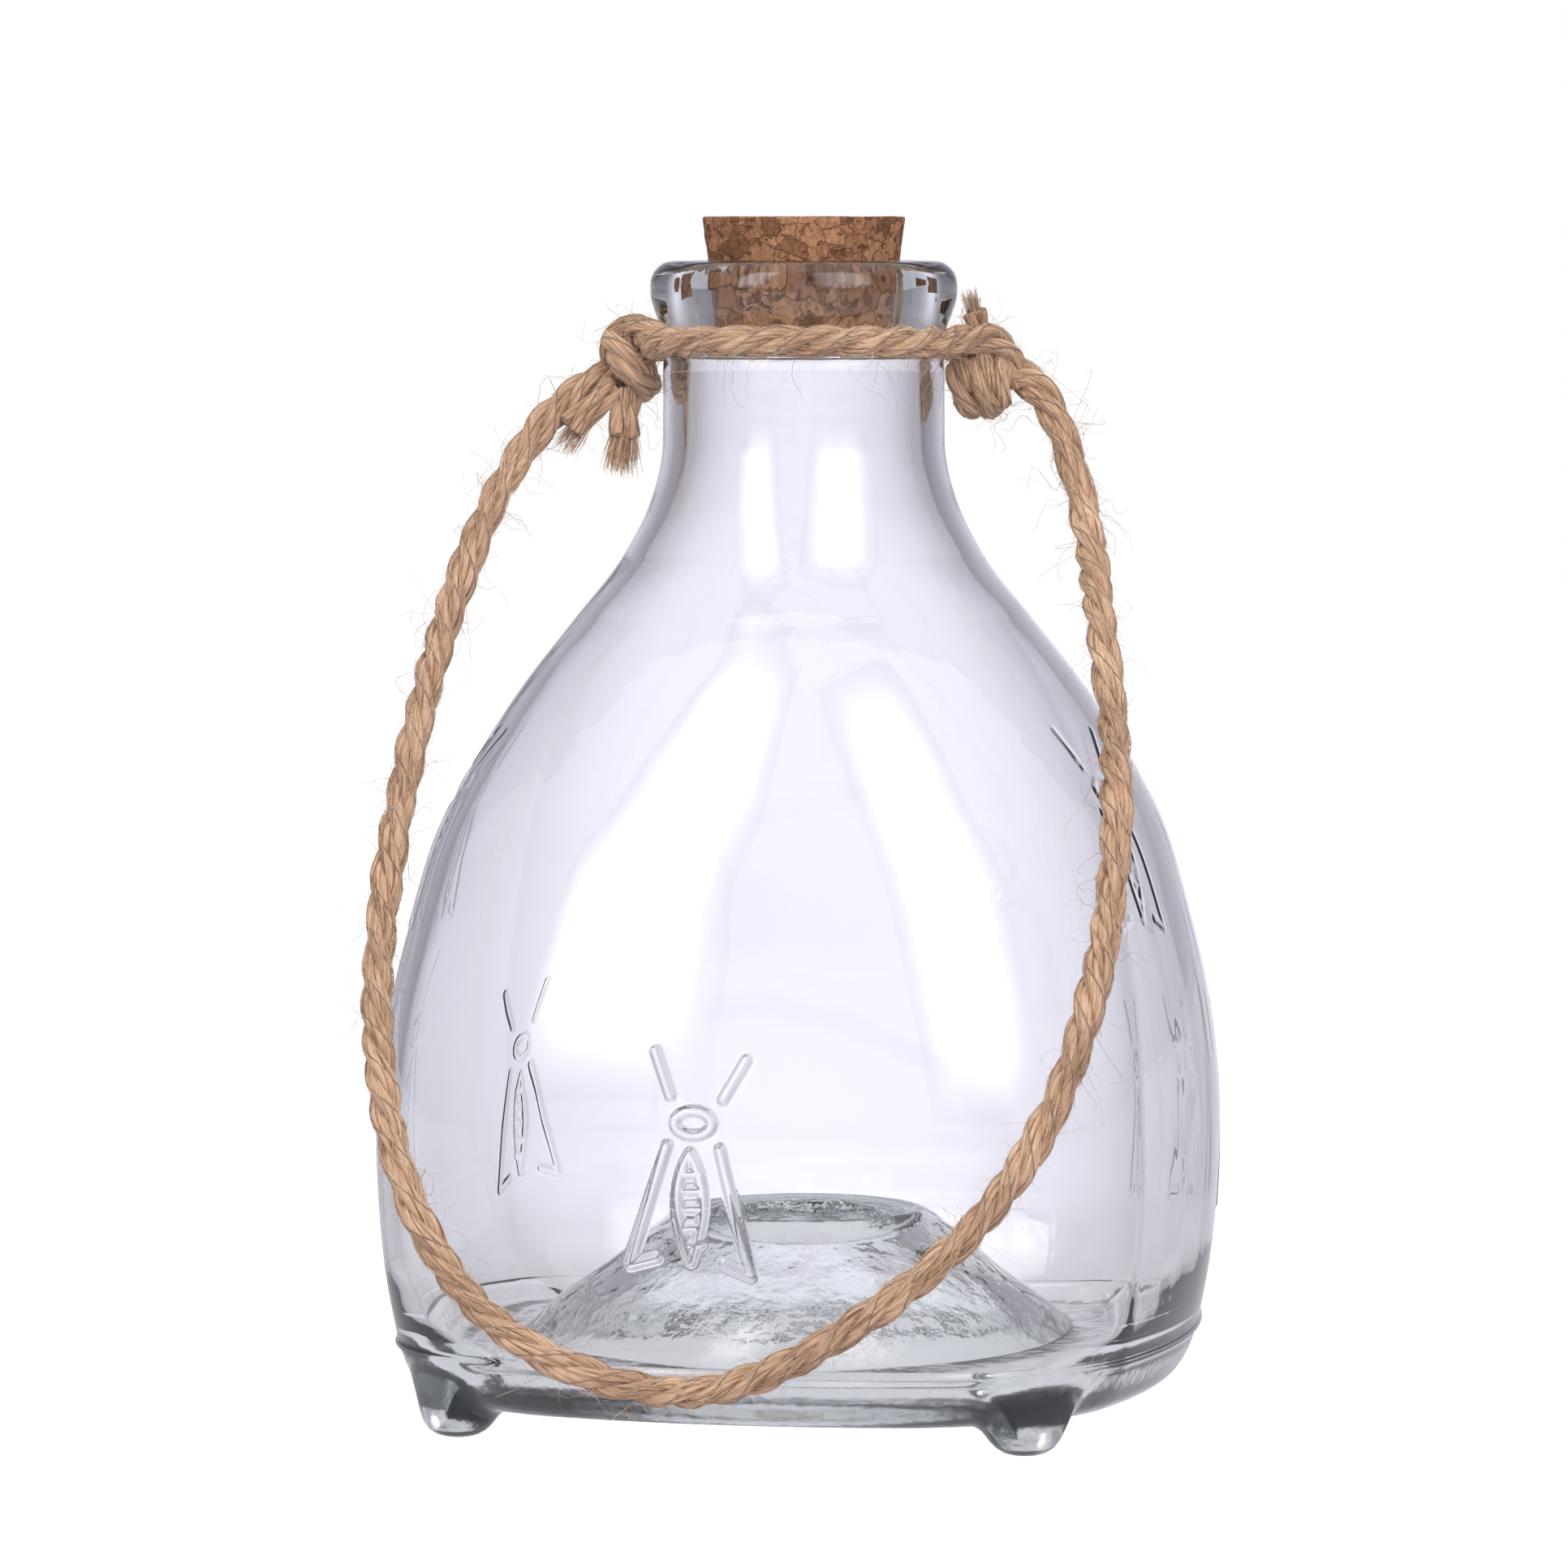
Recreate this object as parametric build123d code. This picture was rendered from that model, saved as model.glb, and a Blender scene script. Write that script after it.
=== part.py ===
from build123d import *
from dataclasses import dataclass
import math
import os

# Glass fly trap: a clear glass bottle with a rounded square belly, a cork in its mouth, and a
# jute cord round its neck that carries a long hanging loop. Millimetres, +Z up.
# The origin is on the bottle's own axis, at the floor that its four feet stand on.
# The front face of the belly looks along -Y.

os.makedirs("parts", exist_ok=True)

# Heights of the bottle
BASE_HEIGHT = 5.0          # underside of the base above the floor, lifted by the feet
SEAM_HEIGHT = 14.0         # mould seam between the base and the belly
SHOULDER_HEIGHT = 160.0    # where the shoulder has become the round neck
LIP_HEIGHT = 192.5         # top of the lip

# Walls
WALL = 3.5                 # belly and shoulder
NECK_WALL = 4.0
FLOOR_THICKNESS = 5.0      # base under the bait trough
TROUGH_INSET = 7.0         # width of the trough's rounded outer edge
TROUGH_RISE = 5.0          # and its height

# Belly: share of the rise from the seam to the shoulder, half width across the faces, and corner
# radius as a share of that half width
FACE_ARC = math.radians(12.0)   # half angle of the slightly bowed face
BELLY = [
    (0.0, 65.0, 0.59),
    (0.0685, 66.8, 0.59),
    (0.1644, 68.1, 0.59),
    (0.2603, 68.3, 0.59),
    (0.3699, 66.7, 0.62),
    (0.4795, 63.3, 0.67),
    (0.5753, 59.4, 0.73),
    (0.6575, 53.6, 0.80),
    (0.7397, 46.2, 0.87),
    (0.8151, 37.9, 0.94),
    (0.8836, 30.3, 1.00),
    (0.9418, 25.9, 1.00),
    (1.0, 23.7, 1.00),
]
# Base: share of the rise from its underside to the seam, and the same two sizes
BASE = [
    (0.0, 57.0, 0.62),
    (0.14, 60.0, 0.61),
    (0.45, 62.9, 0.60),
    (1.0, BELLY[0][1], BELLY[0][2]),
]
SEAM_PROUD = 0.5
SEAM_WIDTH = 1.0

# Neck, lip and mouth
NECK_RADIUS = 23.5
NECK_BLEND = 6.0           # height over which the shoulder runs into the neck
LIP_RADIUS = 25.6
LIP_ROUND = 1.6
LIP_DEPTH = 11.5           # from the top of the lip down to the plain neck
LIP_BULGE = 5.5            # from the top of the lip down to its widest ring
MOUTH_DEPTH = 11.5         # length of the tapered seat for the cork
MOUTH_OPENING = 5.5        # height over which the seat widens to the bore of the neck

# Cork
CORK_TOP_RADIUS = 17.0
CORK_TAPER = 0.13          # loss of radius for each millimetre of depth
CORK_PROUD = 7.3           # height of the cork above the lip
CORK_SUNK = 12.0           # depth of the cork below the lip's top
CORK_FIT = 0.05
CORK_CHAMFER = 0.5

# Entry funnel in the base, where the flies come in from below
FUNNEL_FOOT_RADIUS = 46.0
FUNNEL_HEIGHT = 34.0
HOLE_RADIUS = 17.0
FUNNEL_WALL = 4.0
FUNNEL_BULGE = 2.2         # how far the funnel's flank stands out of a straight one

# Feet, one under each corner of the base
FOOT_PLACE = 47.3          # from the axis along X and along Y
FOOT_FLAT = 2.6            # radius of the worn flat that it stands on
FOOT_RADIUS = 6.3
FOOT_FLARE = 0.6

# Jute cord
CORD_TURN = 12.9           # the knots stand turned from the belly's side faces, in degrees
CORD_DIAMETER = 5.0
CORD_FIT = 0.05
RING_TILT = 2.0            # the neck cord rides higher at the front, in degrees
SWING_HEIGHT = 174.0       # height of the line through both knots, which the loop swings on
LOOP_END = 31.0            # where the loop's ends meet the knots, from the axis
SOCKET_FIT = 0.3           # room round the loop where it leaves a knot
SOCKET_GAP = 0.2           # room behind the loop's end inside the knot
WRAP_ROUND = 0.3           # depth of the groove between two wraps, as a share of their pitch
WRAP_LEAN = 14.0           # lean of the knots' wraps, in degrees


@dataclass(frozen=True)
class Knot:
    """A pulled-tight knot: its place from the axis and its size."""

    side: int              # -1 on the left, 1 on the right
    out: float
    rise: float            # of its middle above the line that the loop swings on
    wraps: int
    width: float
    height: float


@dataclass(frozen=True)
class CutEnd:
    """A short cut end of cord that stands out of a knot and spreads as it frays."""

    root: tuple
    tip: tuple
    root_diameter: float
    tip_diameter: float


LEFT_KNOT = Knot(side=-1, out=28.4, rise=1.5, wraps=2, width=7.8, height=13.6)
RIGHT_KNOT = Knot(side=1, out=29.0, rise=0.8, wraps=2, width=9.0, height=15.4)
LEFT_TAIL = CutEnd((-28.6, -2.0, 169.5), (-29.8, -2.8, 158.4), 3.8, 5.8)
LEFT_STUB = CutEnd((-32.4, -2.2, 169.6), (-39.8, -3.6, 162.4), 4.0, 4.6)
RIGHT_TAIL = CutEnd((29.8, -3.0, 179.0), (28.1, -4.4, 186.0), 3.0, 3.8)

# Route of the hanging loop, from the right knot down the front of the belly to the left knot.
# X is to the right along the line through the knots, Y away from the front.
LOOP_ROUTE = [
    (LOOP_END, 0, SWING_HEIGHT),
    (35.6, 0, SWING_HEIGHT),
    (39.6, -1.2, 170.8),
    (42.8, -3.9, 164.4),
    (45.4, -8.2, 156.0),
    (47.5, -15.5, 145.0),
    (48.8, -26.0, 131.5),
    (50.7, -36.5, 116.2),
    (50.6, -47.0, 101.1),
    (49.0, -56.5, 86.9),
    (45.2, -64.0, 71.6),
    (39.7, -69.5, 57.1),
    (31.9, -72.5, 44.6),
    (22.0, -73.5, 33.8),
    (9.4, -73.5, 24.2),
    (-4.7, -72.5, 15.7),
    (-17.6, -70.5, 11.7),
    (-31.8, -69.0, 13.8),
    (-44.7, -67.5, 19.1),
    (-55.7, -65.0, 28.2),
    (-64.4, -60.8, 43.0),
    (-69.3, -53.2, 64.0),
    (-68.9, -42.5, 87.0),
    (-65.0, -32.5, 110.0),
    (-59.9, -21.0, 131.0),
    (-53.8, -11.0, 148.5),
    (-46.4, -3.8, 162.8),
    (-39.8, -0.6, 170.6),
    (-35.2, 0, SWING_HEIGHT),
    (-LOOP_END, 0, SWING_HEIGHT),
]


def belly_section(height, half_width, corner_share):
    """Closed face of the rounded square, made of eight tangent arcs."""
    corner = half_width * corner_share
    sine = math.sin(FACE_ARC)
    cosine = math.cos(FACE_ARC)
    side = (half_width + corner * (sine - cosine)) / (1 + sine - cosine)
    centre = (side - corner) * sine
    end = side * sine
    inset = half_width - side * (1 - cosine)
    middle = centre + corner * math.sqrt(0.5)
    edges = []
    for quarter in range(4):
        face = ThreePointArc((-end, -inset), (0, -half_width), (end, -inset))
        bend = ThreePointArc((end, -inset), (middle, -middle), (inset, -end))
        edges += [Rot(0, 0, 90 * quarter) * face, Rot(0, 0, 90 * quarter) * bend]
    return Pos(0, 0, height) * make_face(Curve() + edges)


def inset_station(station, wall):
    """The same station moved in by a wall, with its corners still concentric."""
    height, half_width, share = station
    inner = half_width - wall
    corner = half_width * share - wall
    return (height, inner, min(1.0, corner / inner))


def belly_stations():
    """Stations of the belly's outside, from the seam up to the shoulder."""
    rise = SHOULDER_HEIGHT - SEAM_HEIGHT
    return [(SEAM_HEIGHT + rise * share, width, corner) for share, width, corner in BELLY]


def base_stations():
    """Stations of the curved-in base, from its underside up to the seam."""
    rise = SEAM_HEIGHT - BASE_HEIGHT
    return [(BASE_HEIGHT + rise * share, width, corner) for share, width, corner in BASE]


def bottle_outside():
    """Solid outer form: base, belly, seam ridge, neck and lip."""
    base = loft([belly_section(*station) for station in base_stations()])
    belly = loft([belly_section(*station) for station in belly_stations()])
    seam_width = BELLY[0][1] + SEAM_PROUD
    seam_face = belly_section(SEAM_HEIGHT - SEAM_WIDTH / 2, seam_width, BELLY[0][2])
    seam = extrude(seam_face, SEAM_WIDTH)
    seam = chamfer(seam.edges().group_by(Axis.Z)[-1] + seam.edges().group_by(Axis.Z)[0], 0.3)
    return base + belly + seam + neck_outside()


def neck_outside():
    """Neck and thick rolled lip, turned about the axis."""
    neck_top = LIP_HEIGHT - LIP_DEPTH
    widest = LIP_HEIGHT - LIP_BULGE
    shoulder = (BELLY[-1][1], SHOULDER_HEIGHT)
    neck = (NECK_RADIUS, SHOULDER_HEIGHT + NECK_BLEND)
    neck_end = (NECK_RADIUS, neck_top)
    bulge = (LIP_RADIUS, widest)
    lip_edge = (LIP_RADIUS - LIP_ROUND * 1.6, LIP_HEIGHT)
    profile = Curve() + [
        Line((0, SHOULDER_HEIGHT), shoulder),
        Line(shoulder, neck),
        Line(neck, neck_end),
        Spline(neck_end, bulge, tangents=[(0.35, 1), (0, 1)]),
        Spline(bulge, lip_edge, tangents=[(0, 1), (-1, 0.15)]),
        Line(lip_edge, (0, LIP_HEIGHT)),
        Line((0, LIP_HEIGHT), (0, SHOULDER_HEIGHT)),
    ]
    return revolve(Plane.XZ * make_face(profile), Axis.Z)


def mouth_radius(depth):
    """Radius of the cork's seat at a depth below the top of the lip."""
    return CORK_TOP_RADIUS - CORK_TAPER * (CORK_PROUD + depth) + CORK_FIT


def cavity_stations():
    """Stations of the space inside, from the bait trough up to the neck."""
    floor = BASE_HEIGHT + FLOOR_THICKNESS
    outside = belly_stations()
    seam = inset_station(outside[0], WALL + 1.0)
    low = (floor, seam[1] - TROUGH_INSET, seam[2])
    bend = (floor + TROUGH_RISE * 0.32, seam[1] - TROUGH_INSET * 0.37, seam[2])
    rise = (floor + TROUGH_RISE, seam[1] - TROUGH_INSET * 0.03, seam[2])
    upper = [inset_station(station, WALL) for station in outside[1:-1]]
    top = (SHOULDER_HEIGHT, NECK_RADIUS - NECK_WALL, 1.0)
    return [low, bend, rise] + upper + [top]


def mouth_space():
    """Bore of the neck and tapered seat of the cork, turned about the axis."""
    bore = NECK_RADIUS - NECK_WALL
    seat_end = LIP_HEIGHT - MOUTH_DEPTH
    above = LIP_HEIGHT + 1.0
    mouth = mouth_radius(0)
    opening = Spline(
        (bore, seat_end - MOUTH_OPENING),
        (mouth_radius(MOUTH_DEPTH), seat_end),
        tangents=[(0, 1), (0, 1)],
    )
    profile = Curve() + [
        Line((0, SHOULDER_HEIGHT), (bore, SHOULDER_HEIGHT)),
        Line((bore, SHOULDER_HEIGHT), (bore, seat_end - MOUTH_OPENING)),
        opening,
        Line((mouth_radius(MOUTH_DEPTH), seat_end), (mouth, LIP_HEIGHT)),
        Line((mouth, LIP_HEIGHT), (mouth, above)),
        Line((mouth, above), (0, above)),
        Line((0, above), (0, SHOULDER_HEIGHT)),
    ]
    return revolve(Plane.XZ * make_face(profile), Axis.Z)


def funnel_mound():
    """The funnel seen from inside the bottle, as a solid mound."""
    floor = BASE_HEIGHT + FLOOR_THICKNESS
    low = floor - 3.0
    rim = HOLE_RADIUS + FUNNEL_WALL
    crown = FUNNEL_HEIGHT - FUNNEL_WALL / 2
    middle = ((FUNNEL_FOOT_RADIUS + rim) / 2 + FUNNEL_BULGE, (floor + crown) / 2 + FUNNEL_BULGE)
    profile = Curve() + [
        Line((0, low), (FUNNEL_FOOT_RADIUS, low)),
        Line((FUNNEL_FOOT_RADIUS, low), (FUNNEL_FOOT_RADIUS, floor)),
        ThreePointArc((FUNNEL_FOOT_RADIUS, floor), middle, (rim, crown)),
        ThreePointArc(
            (rim, crown),
            (HOLE_RADIUS + FUNNEL_WALL / 2, FUNNEL_HEIGHT),
            (HOLE_RADIUS, crown),
        ),
        Line((HOLE_RADIUS, crown), (0, crown)),
        Line((0, crown), (0, low)),
    ]
    return revolve(Plane.XZ * make_face(profile), Axis.Z)


def funnel_space():
    """The open way in: the hollow under the base and the hole at its top."""
    crown = FUNNEL_HEIGHT - FUNNEL_WALL / 2
    throat = crown - FUNNEL_WALL
    foot = FUNNEL_FOOT_RADIUS - FUNNEL_WALL * 1.2
    middle = ((foot + HOLE_RADIUS) / 2 + FUNNEL_BULGE, (BASE_HEIGHT + throat) / 2 + FUNNEL_BULGE)
    profile = Curve() + [
        Line((0, BASE_HEIGHT - 1), (foot, BASE_HEIGHT - 1)),
        Line((foot, BASE_HEIGHT - 1), (foot, BASE_HEIGHT)),
        ThreePointArc((foot, BASE_HEIGHT), middle, (HOLE_RADIUS, throat)),
        Line((HOLE_RADIUS, throat), (HOLE_RADIUS, FUNNEL_HEIGHT + 1)),
        Line((HOLE_RADIUS, FUNNEL_HEIGHT + 1), (0, FUNNEL_HEIGHT + 1)),
        Line((0, FUNNEL_HEIGHT + 1), (0, BASE_HEIGHT - 1)),
    ]
    return revolve(Plane.XZ * make_face(profile), Axis.Z)


def foot():
    """A blob of glass, drawn down from the corner, with a small flat to stand on."""
    top = BASE_HEIGHT + FLOOR_THICKNESS * 0.9
    waist = BASE_HEIGHT * 0.8
    profile = Curve() + [
        Line((0, 0), (FOOT_FLAT, 0)),
        ThreePointArc(
            (FOOT_FLAT, 0),
            (FOOT_RADIUS - 1.3, waist * 0.35),
            (FOOT_RADIUS, waist),
        ),
        ThreePointArc(
            (FOOT_RADIUS, waist),
            (FOOT_RADIUS + FOOT_FLARE * 0.3, (waist + top) / 2),
            (FOOT_RADIUS + FOOT_FLARE, top),
        ),
        Line((FOOT_RADIUS + FOOT_FLARE, top), (0, top)),
        Line((0, top), (0, 0)),
    ]
    return revolve(Plane.XZ * make_face(profile), Axis.Z)


def glass_bottle():
    cavity = loft([belly_section(*station) for station in cavity_stations()])
    glass = bottle_outside() - (cavity - funnel_mound()) - mouth_space() - funnel_space()
    for quarter in range(4):
        glass += Rot(0, 0, 90 * quarter) * Pos(FOOT_PLACE, FOOT_PLACE, 0) * foot()
    return glass


def cork_stopper():
    top = LIP_HEIGHT + CORK_PROUD
    length = CORK_PROUD + CORK_SUNK
    end_radius = CORK_TOP_RADIUS - CORK_TAPER * length
    cork = Cone(end_radius, CORK_TOP_RADIUS, length, align=(Align.CENTER, Align.CENTER, Align.MAX))
    return Pos(0, 0, top) * chamfer(cork.edges().filter_by(GeomType.CIRCLE), CORK_CHAMFER)


def ring_radius():
    return NECK_RADIUS + CORD_FIT + CORD_DIAMETER / 2


def ring_height():
    """The neck cord sits right under the lip."""
    return LIP_HEIGHT - LIP_DEPTH - CORD_DIAMETER / 2


def cord_ring(diameter):
    """The neck cord's closed ring, tilted so that it rides higher at the front."""
    ring = Torus(ring_radius(), diameter / 2)
    return Pos(0, 0, ring_height()) * Rot(-RING_TILT, 0, 0) * ring


def neck_cord():
    return cord_ring(CORD_DIAMETER)


def socket(side):
    """Room for the loop where it leaves a knot along the line that it swings on."""
    start = Plane((side * (LOOP_END - SOCKET_GAP), 0, SWING_HEIGHT), z_dir=(side, 0, 0))
    return extrude(start * Circle(CORD_DIAMETER / 2 + SOCKET_FIT), LOOP_END)


def knot_lump(place):
    """Wraps of the cord side by side, pulled tight into a leaning barrel."""
    pitch = place.width / place.wraps
    crest = place.height / 2
    valley = crest - pitch * WRAP_ROUND
    start = -place.width / 2
    end = place.width / 2
    dome = valley * 0.55
    profile = Curve() + [ThreePointArc((start - 1, 0), (start - 0.6, dome), (start, valley))]
    for wrap in range(place.wraps):
        left = start + pitch * wrap
        top = (left + pitch / 2, crest)
        profile += [ThreePointArc((left, valley), top, (left + pitch, valley))]
    profile += [ThreePointArc((end, valley), (end + 0.6, dome), (end + 1, 0))]
    profile += [Line((end + 1, 0), (start - 1, 0))]
    barrel = revolve(Plane.XZ * make_face(profile), Axis.X)
    middle = Pos(place.side * place.out, 0, SWING_HEIGHT + place.rise)
    return middle * Rot(0, -place.side * WRAP_LEAN, 0) * barrel


def knot(place):
    """The knot, outside the lip, open where the neck cord passes and where the loop leaves."""
    solid = knot_lump(place) - cord_ring(CORD_DIAMETER + 2 * CORD_FIT)
    solid -= Cylinder(LIP_RADIUS + CORD_FIT, 2 * LIP_HEIGHT)
    return solid - socket(place.side)


def cut_end(end, place):
    """The part of a cut end that shows outside its knot."""
    root = Vector(*end.root)
    reach = Vector(*end.tip) - root
    start = Plane(root, z_dir=reach)
    finish = Plane(root + reach, z_dir=reach)
    solid = loft([start * Circle(end.root_diameter / 2), finish * Circle(end.tip_diameter / 2)])
    return solid - knot_lump(place) - cord_ring(CORD_DIAMETER + 2 * CORD_FIT)


def bend_radius(before, corner, after):
    """Radius of a route's arc, as large as its two runs allow."""
    first = corner - before
    second = after - corner
    turn = math.radians(first.get_angle(second))
    return 0.45 * min(first.length, second.length) / math.tan(turn / 2)


def hanging_cord():
    points = [Vector(*point) for point in LOOP_ROUTE]
    radii = [bend_radius(*points[i - 1:i + 2]) for i in range(1, len(points) - 1)]
    path = FilletPolyline(*points, radius=radii)
    section = Plane(path @ 0, z_dir=path % 0) * Circle(CORD_DIAMETER / 2)
    cord = sweep(section, path=path)
    plain_volume = math.pi * CORD_DIAMETER ** 2 / 4 * path.length
    print("loop radii", [round(radius, 1) for radius in radii])
    print("loop length", round(path.length, 1), "volume share", round(cord.volume / plain_volume, 4))
    return cord


TURN = Rot(0, 0, CORD_TURN)
NODES = {
    "glass_bottle": glass_bottle(),
    "cork_stopper": cork_stopper(),
    "neck_cord": TURN * neck_cord(),
    "left_knot": TURN * knot(LEFT_KNOT),
    "right_knot": TURN * knot(RIGHT_KNOT),
    "left_tail": TURN * cut_end(LEFT_TAIL, LEFT_KNOT),
    "left_stub": TURN * cut_end(LEFT_STUB, LEFT_KNOT),
    "right_tail": TURN * cut_end(RIGHT_TAIL, RIGHT_KNOT),
    "hanging_cord": TURN * hanging_cord(),
}
for name, solid in NODES.items():
    box = solid.bounding_box()
    print(name, len(solid.solids()), round(solid.volume, 1), solid.is_valid, box.min, box.max)
    export_step(solid, f"parts/{name}.step")
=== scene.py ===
"""Glass fly trap, dressed for the photograph.

A clear moulded bottle with raised line bees, a pressed cork and hairy three-strand jute cords.
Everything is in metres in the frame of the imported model, +Z up, the front of the belly along -Y.
"""

import logging
import math
from dataclasses import dataclass
from enum import Enum

import bpy
import numpy as np
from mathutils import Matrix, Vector


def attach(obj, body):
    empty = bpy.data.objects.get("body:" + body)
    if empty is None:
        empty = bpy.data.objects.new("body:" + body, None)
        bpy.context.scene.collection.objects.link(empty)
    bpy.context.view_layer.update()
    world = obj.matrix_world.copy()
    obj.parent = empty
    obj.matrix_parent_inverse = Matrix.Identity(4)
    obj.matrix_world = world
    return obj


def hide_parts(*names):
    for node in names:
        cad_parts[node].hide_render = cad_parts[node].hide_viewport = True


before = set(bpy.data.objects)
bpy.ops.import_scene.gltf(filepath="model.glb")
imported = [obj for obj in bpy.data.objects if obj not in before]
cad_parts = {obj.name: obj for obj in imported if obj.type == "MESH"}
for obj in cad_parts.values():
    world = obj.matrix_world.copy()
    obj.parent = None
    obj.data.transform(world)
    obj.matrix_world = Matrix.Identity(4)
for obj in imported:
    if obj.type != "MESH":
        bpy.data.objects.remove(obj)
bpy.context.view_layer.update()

MM = 0.001
SEED = 20251
LOG = logging.getLogger("fly_trap")

# The line through the knots is turned from the belly's side faces by this angle, and the camera
# stands square to it
CORD_TURN = math.radians(12.9)


class Body(str, Enum):
    """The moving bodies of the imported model."""

    BOTTLE = "bottle"
    STOPPER = "stopper"
    LOOP = "loop"


class Twist(Enum):
    """Hand of a rope's lay."""

    S = -1.0
    Z = 1.0


def from_cord_frame(points: np.ndarray | tuple) -> np.ndarray:
    """Turns points of the cords' own frame into the model's frame.

    Args:
        points: Rows of X, Y, Z in millimetres, X along the line through the knots.

    Returns:
        The same points in metres, turned about the bottle's axis.
    """
    points = np.asarray(points, dtype=float) * MM
    cosine, sine = math.cos(CORD_TURN), math.sin(CORD_TURN)
    turned = points.copy()
    turned[:, 0] = points[:, 0] * cosine - points[:, 1] * sine
    turned[:, 1] = points[:, 0] * sine + points[:, 1] * cosine
    return turned


def unit(vectors: np.ndarray) -> np.ndarray:
    """Scales vectors to length one.

    Args:
        vectors: Array whose last axis is X, Y, Z.

    Returns:
        The unit vectors.
    """
    return vectors / np.maximum(np.linalg.norm(vectors, axis=-1, keepdims=True), 1e-12)


def smooth_step(low: float, high: float, value: np.ndarray) -> np.ndarray:
    """Smooth rise from 0 at low to 1 at high.

    Args:
        low: Where the rise starts.
        high: Where it ends.
        value: Values to map.

    Returns:
        The mapped values.
    """
    share = np.clip((value - low) / (high - low), 0.0, 1.0)
    return share * share * (3.0 - 2.0 * share)


class MeshMaker:
    """Gathers quads of several grids and makes one mesh object of them."""

    def __init__(self) -> None:
        """Starts with nothing gathered."""
        self.points: list[np.ndarray] = []
        self.quads: list[np.ndarray] = []
        self.uvs: list[np.ndarray] = []
        self.count = 0

    def add_grid(self, grid: np.ndarray, close_rows: bool = False, close_columns: bool = True,
                 uv: np.ndarray | None = None, caps: bool = False) -> None:
        """Adds a grid of points as quads.

        Args:
            grid: Points of shape rows by columns by 3.
            close_rows: Whether the last row joins the first.
            close_columns: Whether the last column joins the first.
            uv: Texture place of each point, rows by columns by 2, or None.
            caps: Whether the open ends are closed by a fan about their middle.
        """
        rows, columns = grid.shape[:2]
        index = np.arange(rows * columns).reshape(rows, columns)
        below = np.roll(index, -1, axis=0) if close_rows else index[1:]
        above = index if close_rows else index[:-1]
        if close_columns:
            right_above, right_below = np.roll(above, -1, axis=1), np.roll(below, -1, axis=1)
        else:
            right_above, right_below = above[:, 1:], below[:, 1:]
            above, below = above[:, :-1], below[:, :-1]
        quads = np.stack([above, right_above, right_below, below], axis=-1).reshape(-1, 4)
        flat_uv = np.zeros((rows * columns, 2)) if uv is None else uv.reshape(-1, 2)
        points = grid.reshape(-1, 3)
        if caps:
            ends = [(index[0], grid[0], False), (index[-1], grid[-1], True)]
            for ring, ring_points, flip in ends:
                centre = len(points)
                points = np.vstack([points, ring_points.mean(axis=0)])
                flat_uv = np.vstack([flat_uv, flat_uv[ring].mean(axis=0)])
                following = np.roll(ring, -1)
                middle = np.full(columns, centre)
                fan = (ring, following) if flip else (following, ring)
                quads = np.vstack([quads, np.stack([*fan, middle, middle], axis=-1)])
        self.points.append(points)
        self.uvs.append(flat_uv)
        self.quads.append(quads + self.count)
        self.count += len(points)

    def build(self, name: str) -> bpy.types.Object:
        """Makes the object, smooth shaded, with its texture places.

        Args:
            name: Name of the new object.

        Returns:
            The object, linked to the scene.
        """
        points = np.vstack(self.points)
        quads = np.vstack(self.quads)
        triangle = quads[:, 2] == quads[:, 3]
        sizes = np.where(triangle, 3, 4)
        corners = quads.reshape(-1)
        keep = np.ones(len(corners), dtype=bool)
        keep[3::4] = ~triangle
        corners = corners[keep]
        mesh = bpy.data.meshes.new(name)
        mesh.vertices.add(len(points))
        mesh.vertices.foreach_set("co", points.astype(np.float32).ravel())
        mesh.loops.add(len(corners))
        mesh.loops.foreach_set("vertex_index", corners.astype(np.int32))
        mesh.polygons.add(len(quads))
        starts = np.concatenate([[0], np.cumsum(sizes)[:-1]])
        mesh.polygons.foreach_set("loop_start", starts.astype(np.int32))
        mesh.update(calc_edges=True)
        mesh.validate()
        layer = mesh.uv_layers.new(name="UVMap")
        vertex = np.empty(len(mesh.loops), dtype=np.int32)
        mesh.loops.foreach_get("vertex_index", vertex)
        layer.data.foreach_set("uv", np.vstack(self.uvs)[vertex].astype(np.float32).ravel())
        mesh.shade_smooth()
        made = bpy.data.objects.new(name, mesh)
        bpy.context.scene.collection.objects.link(made)
        return made


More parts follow.
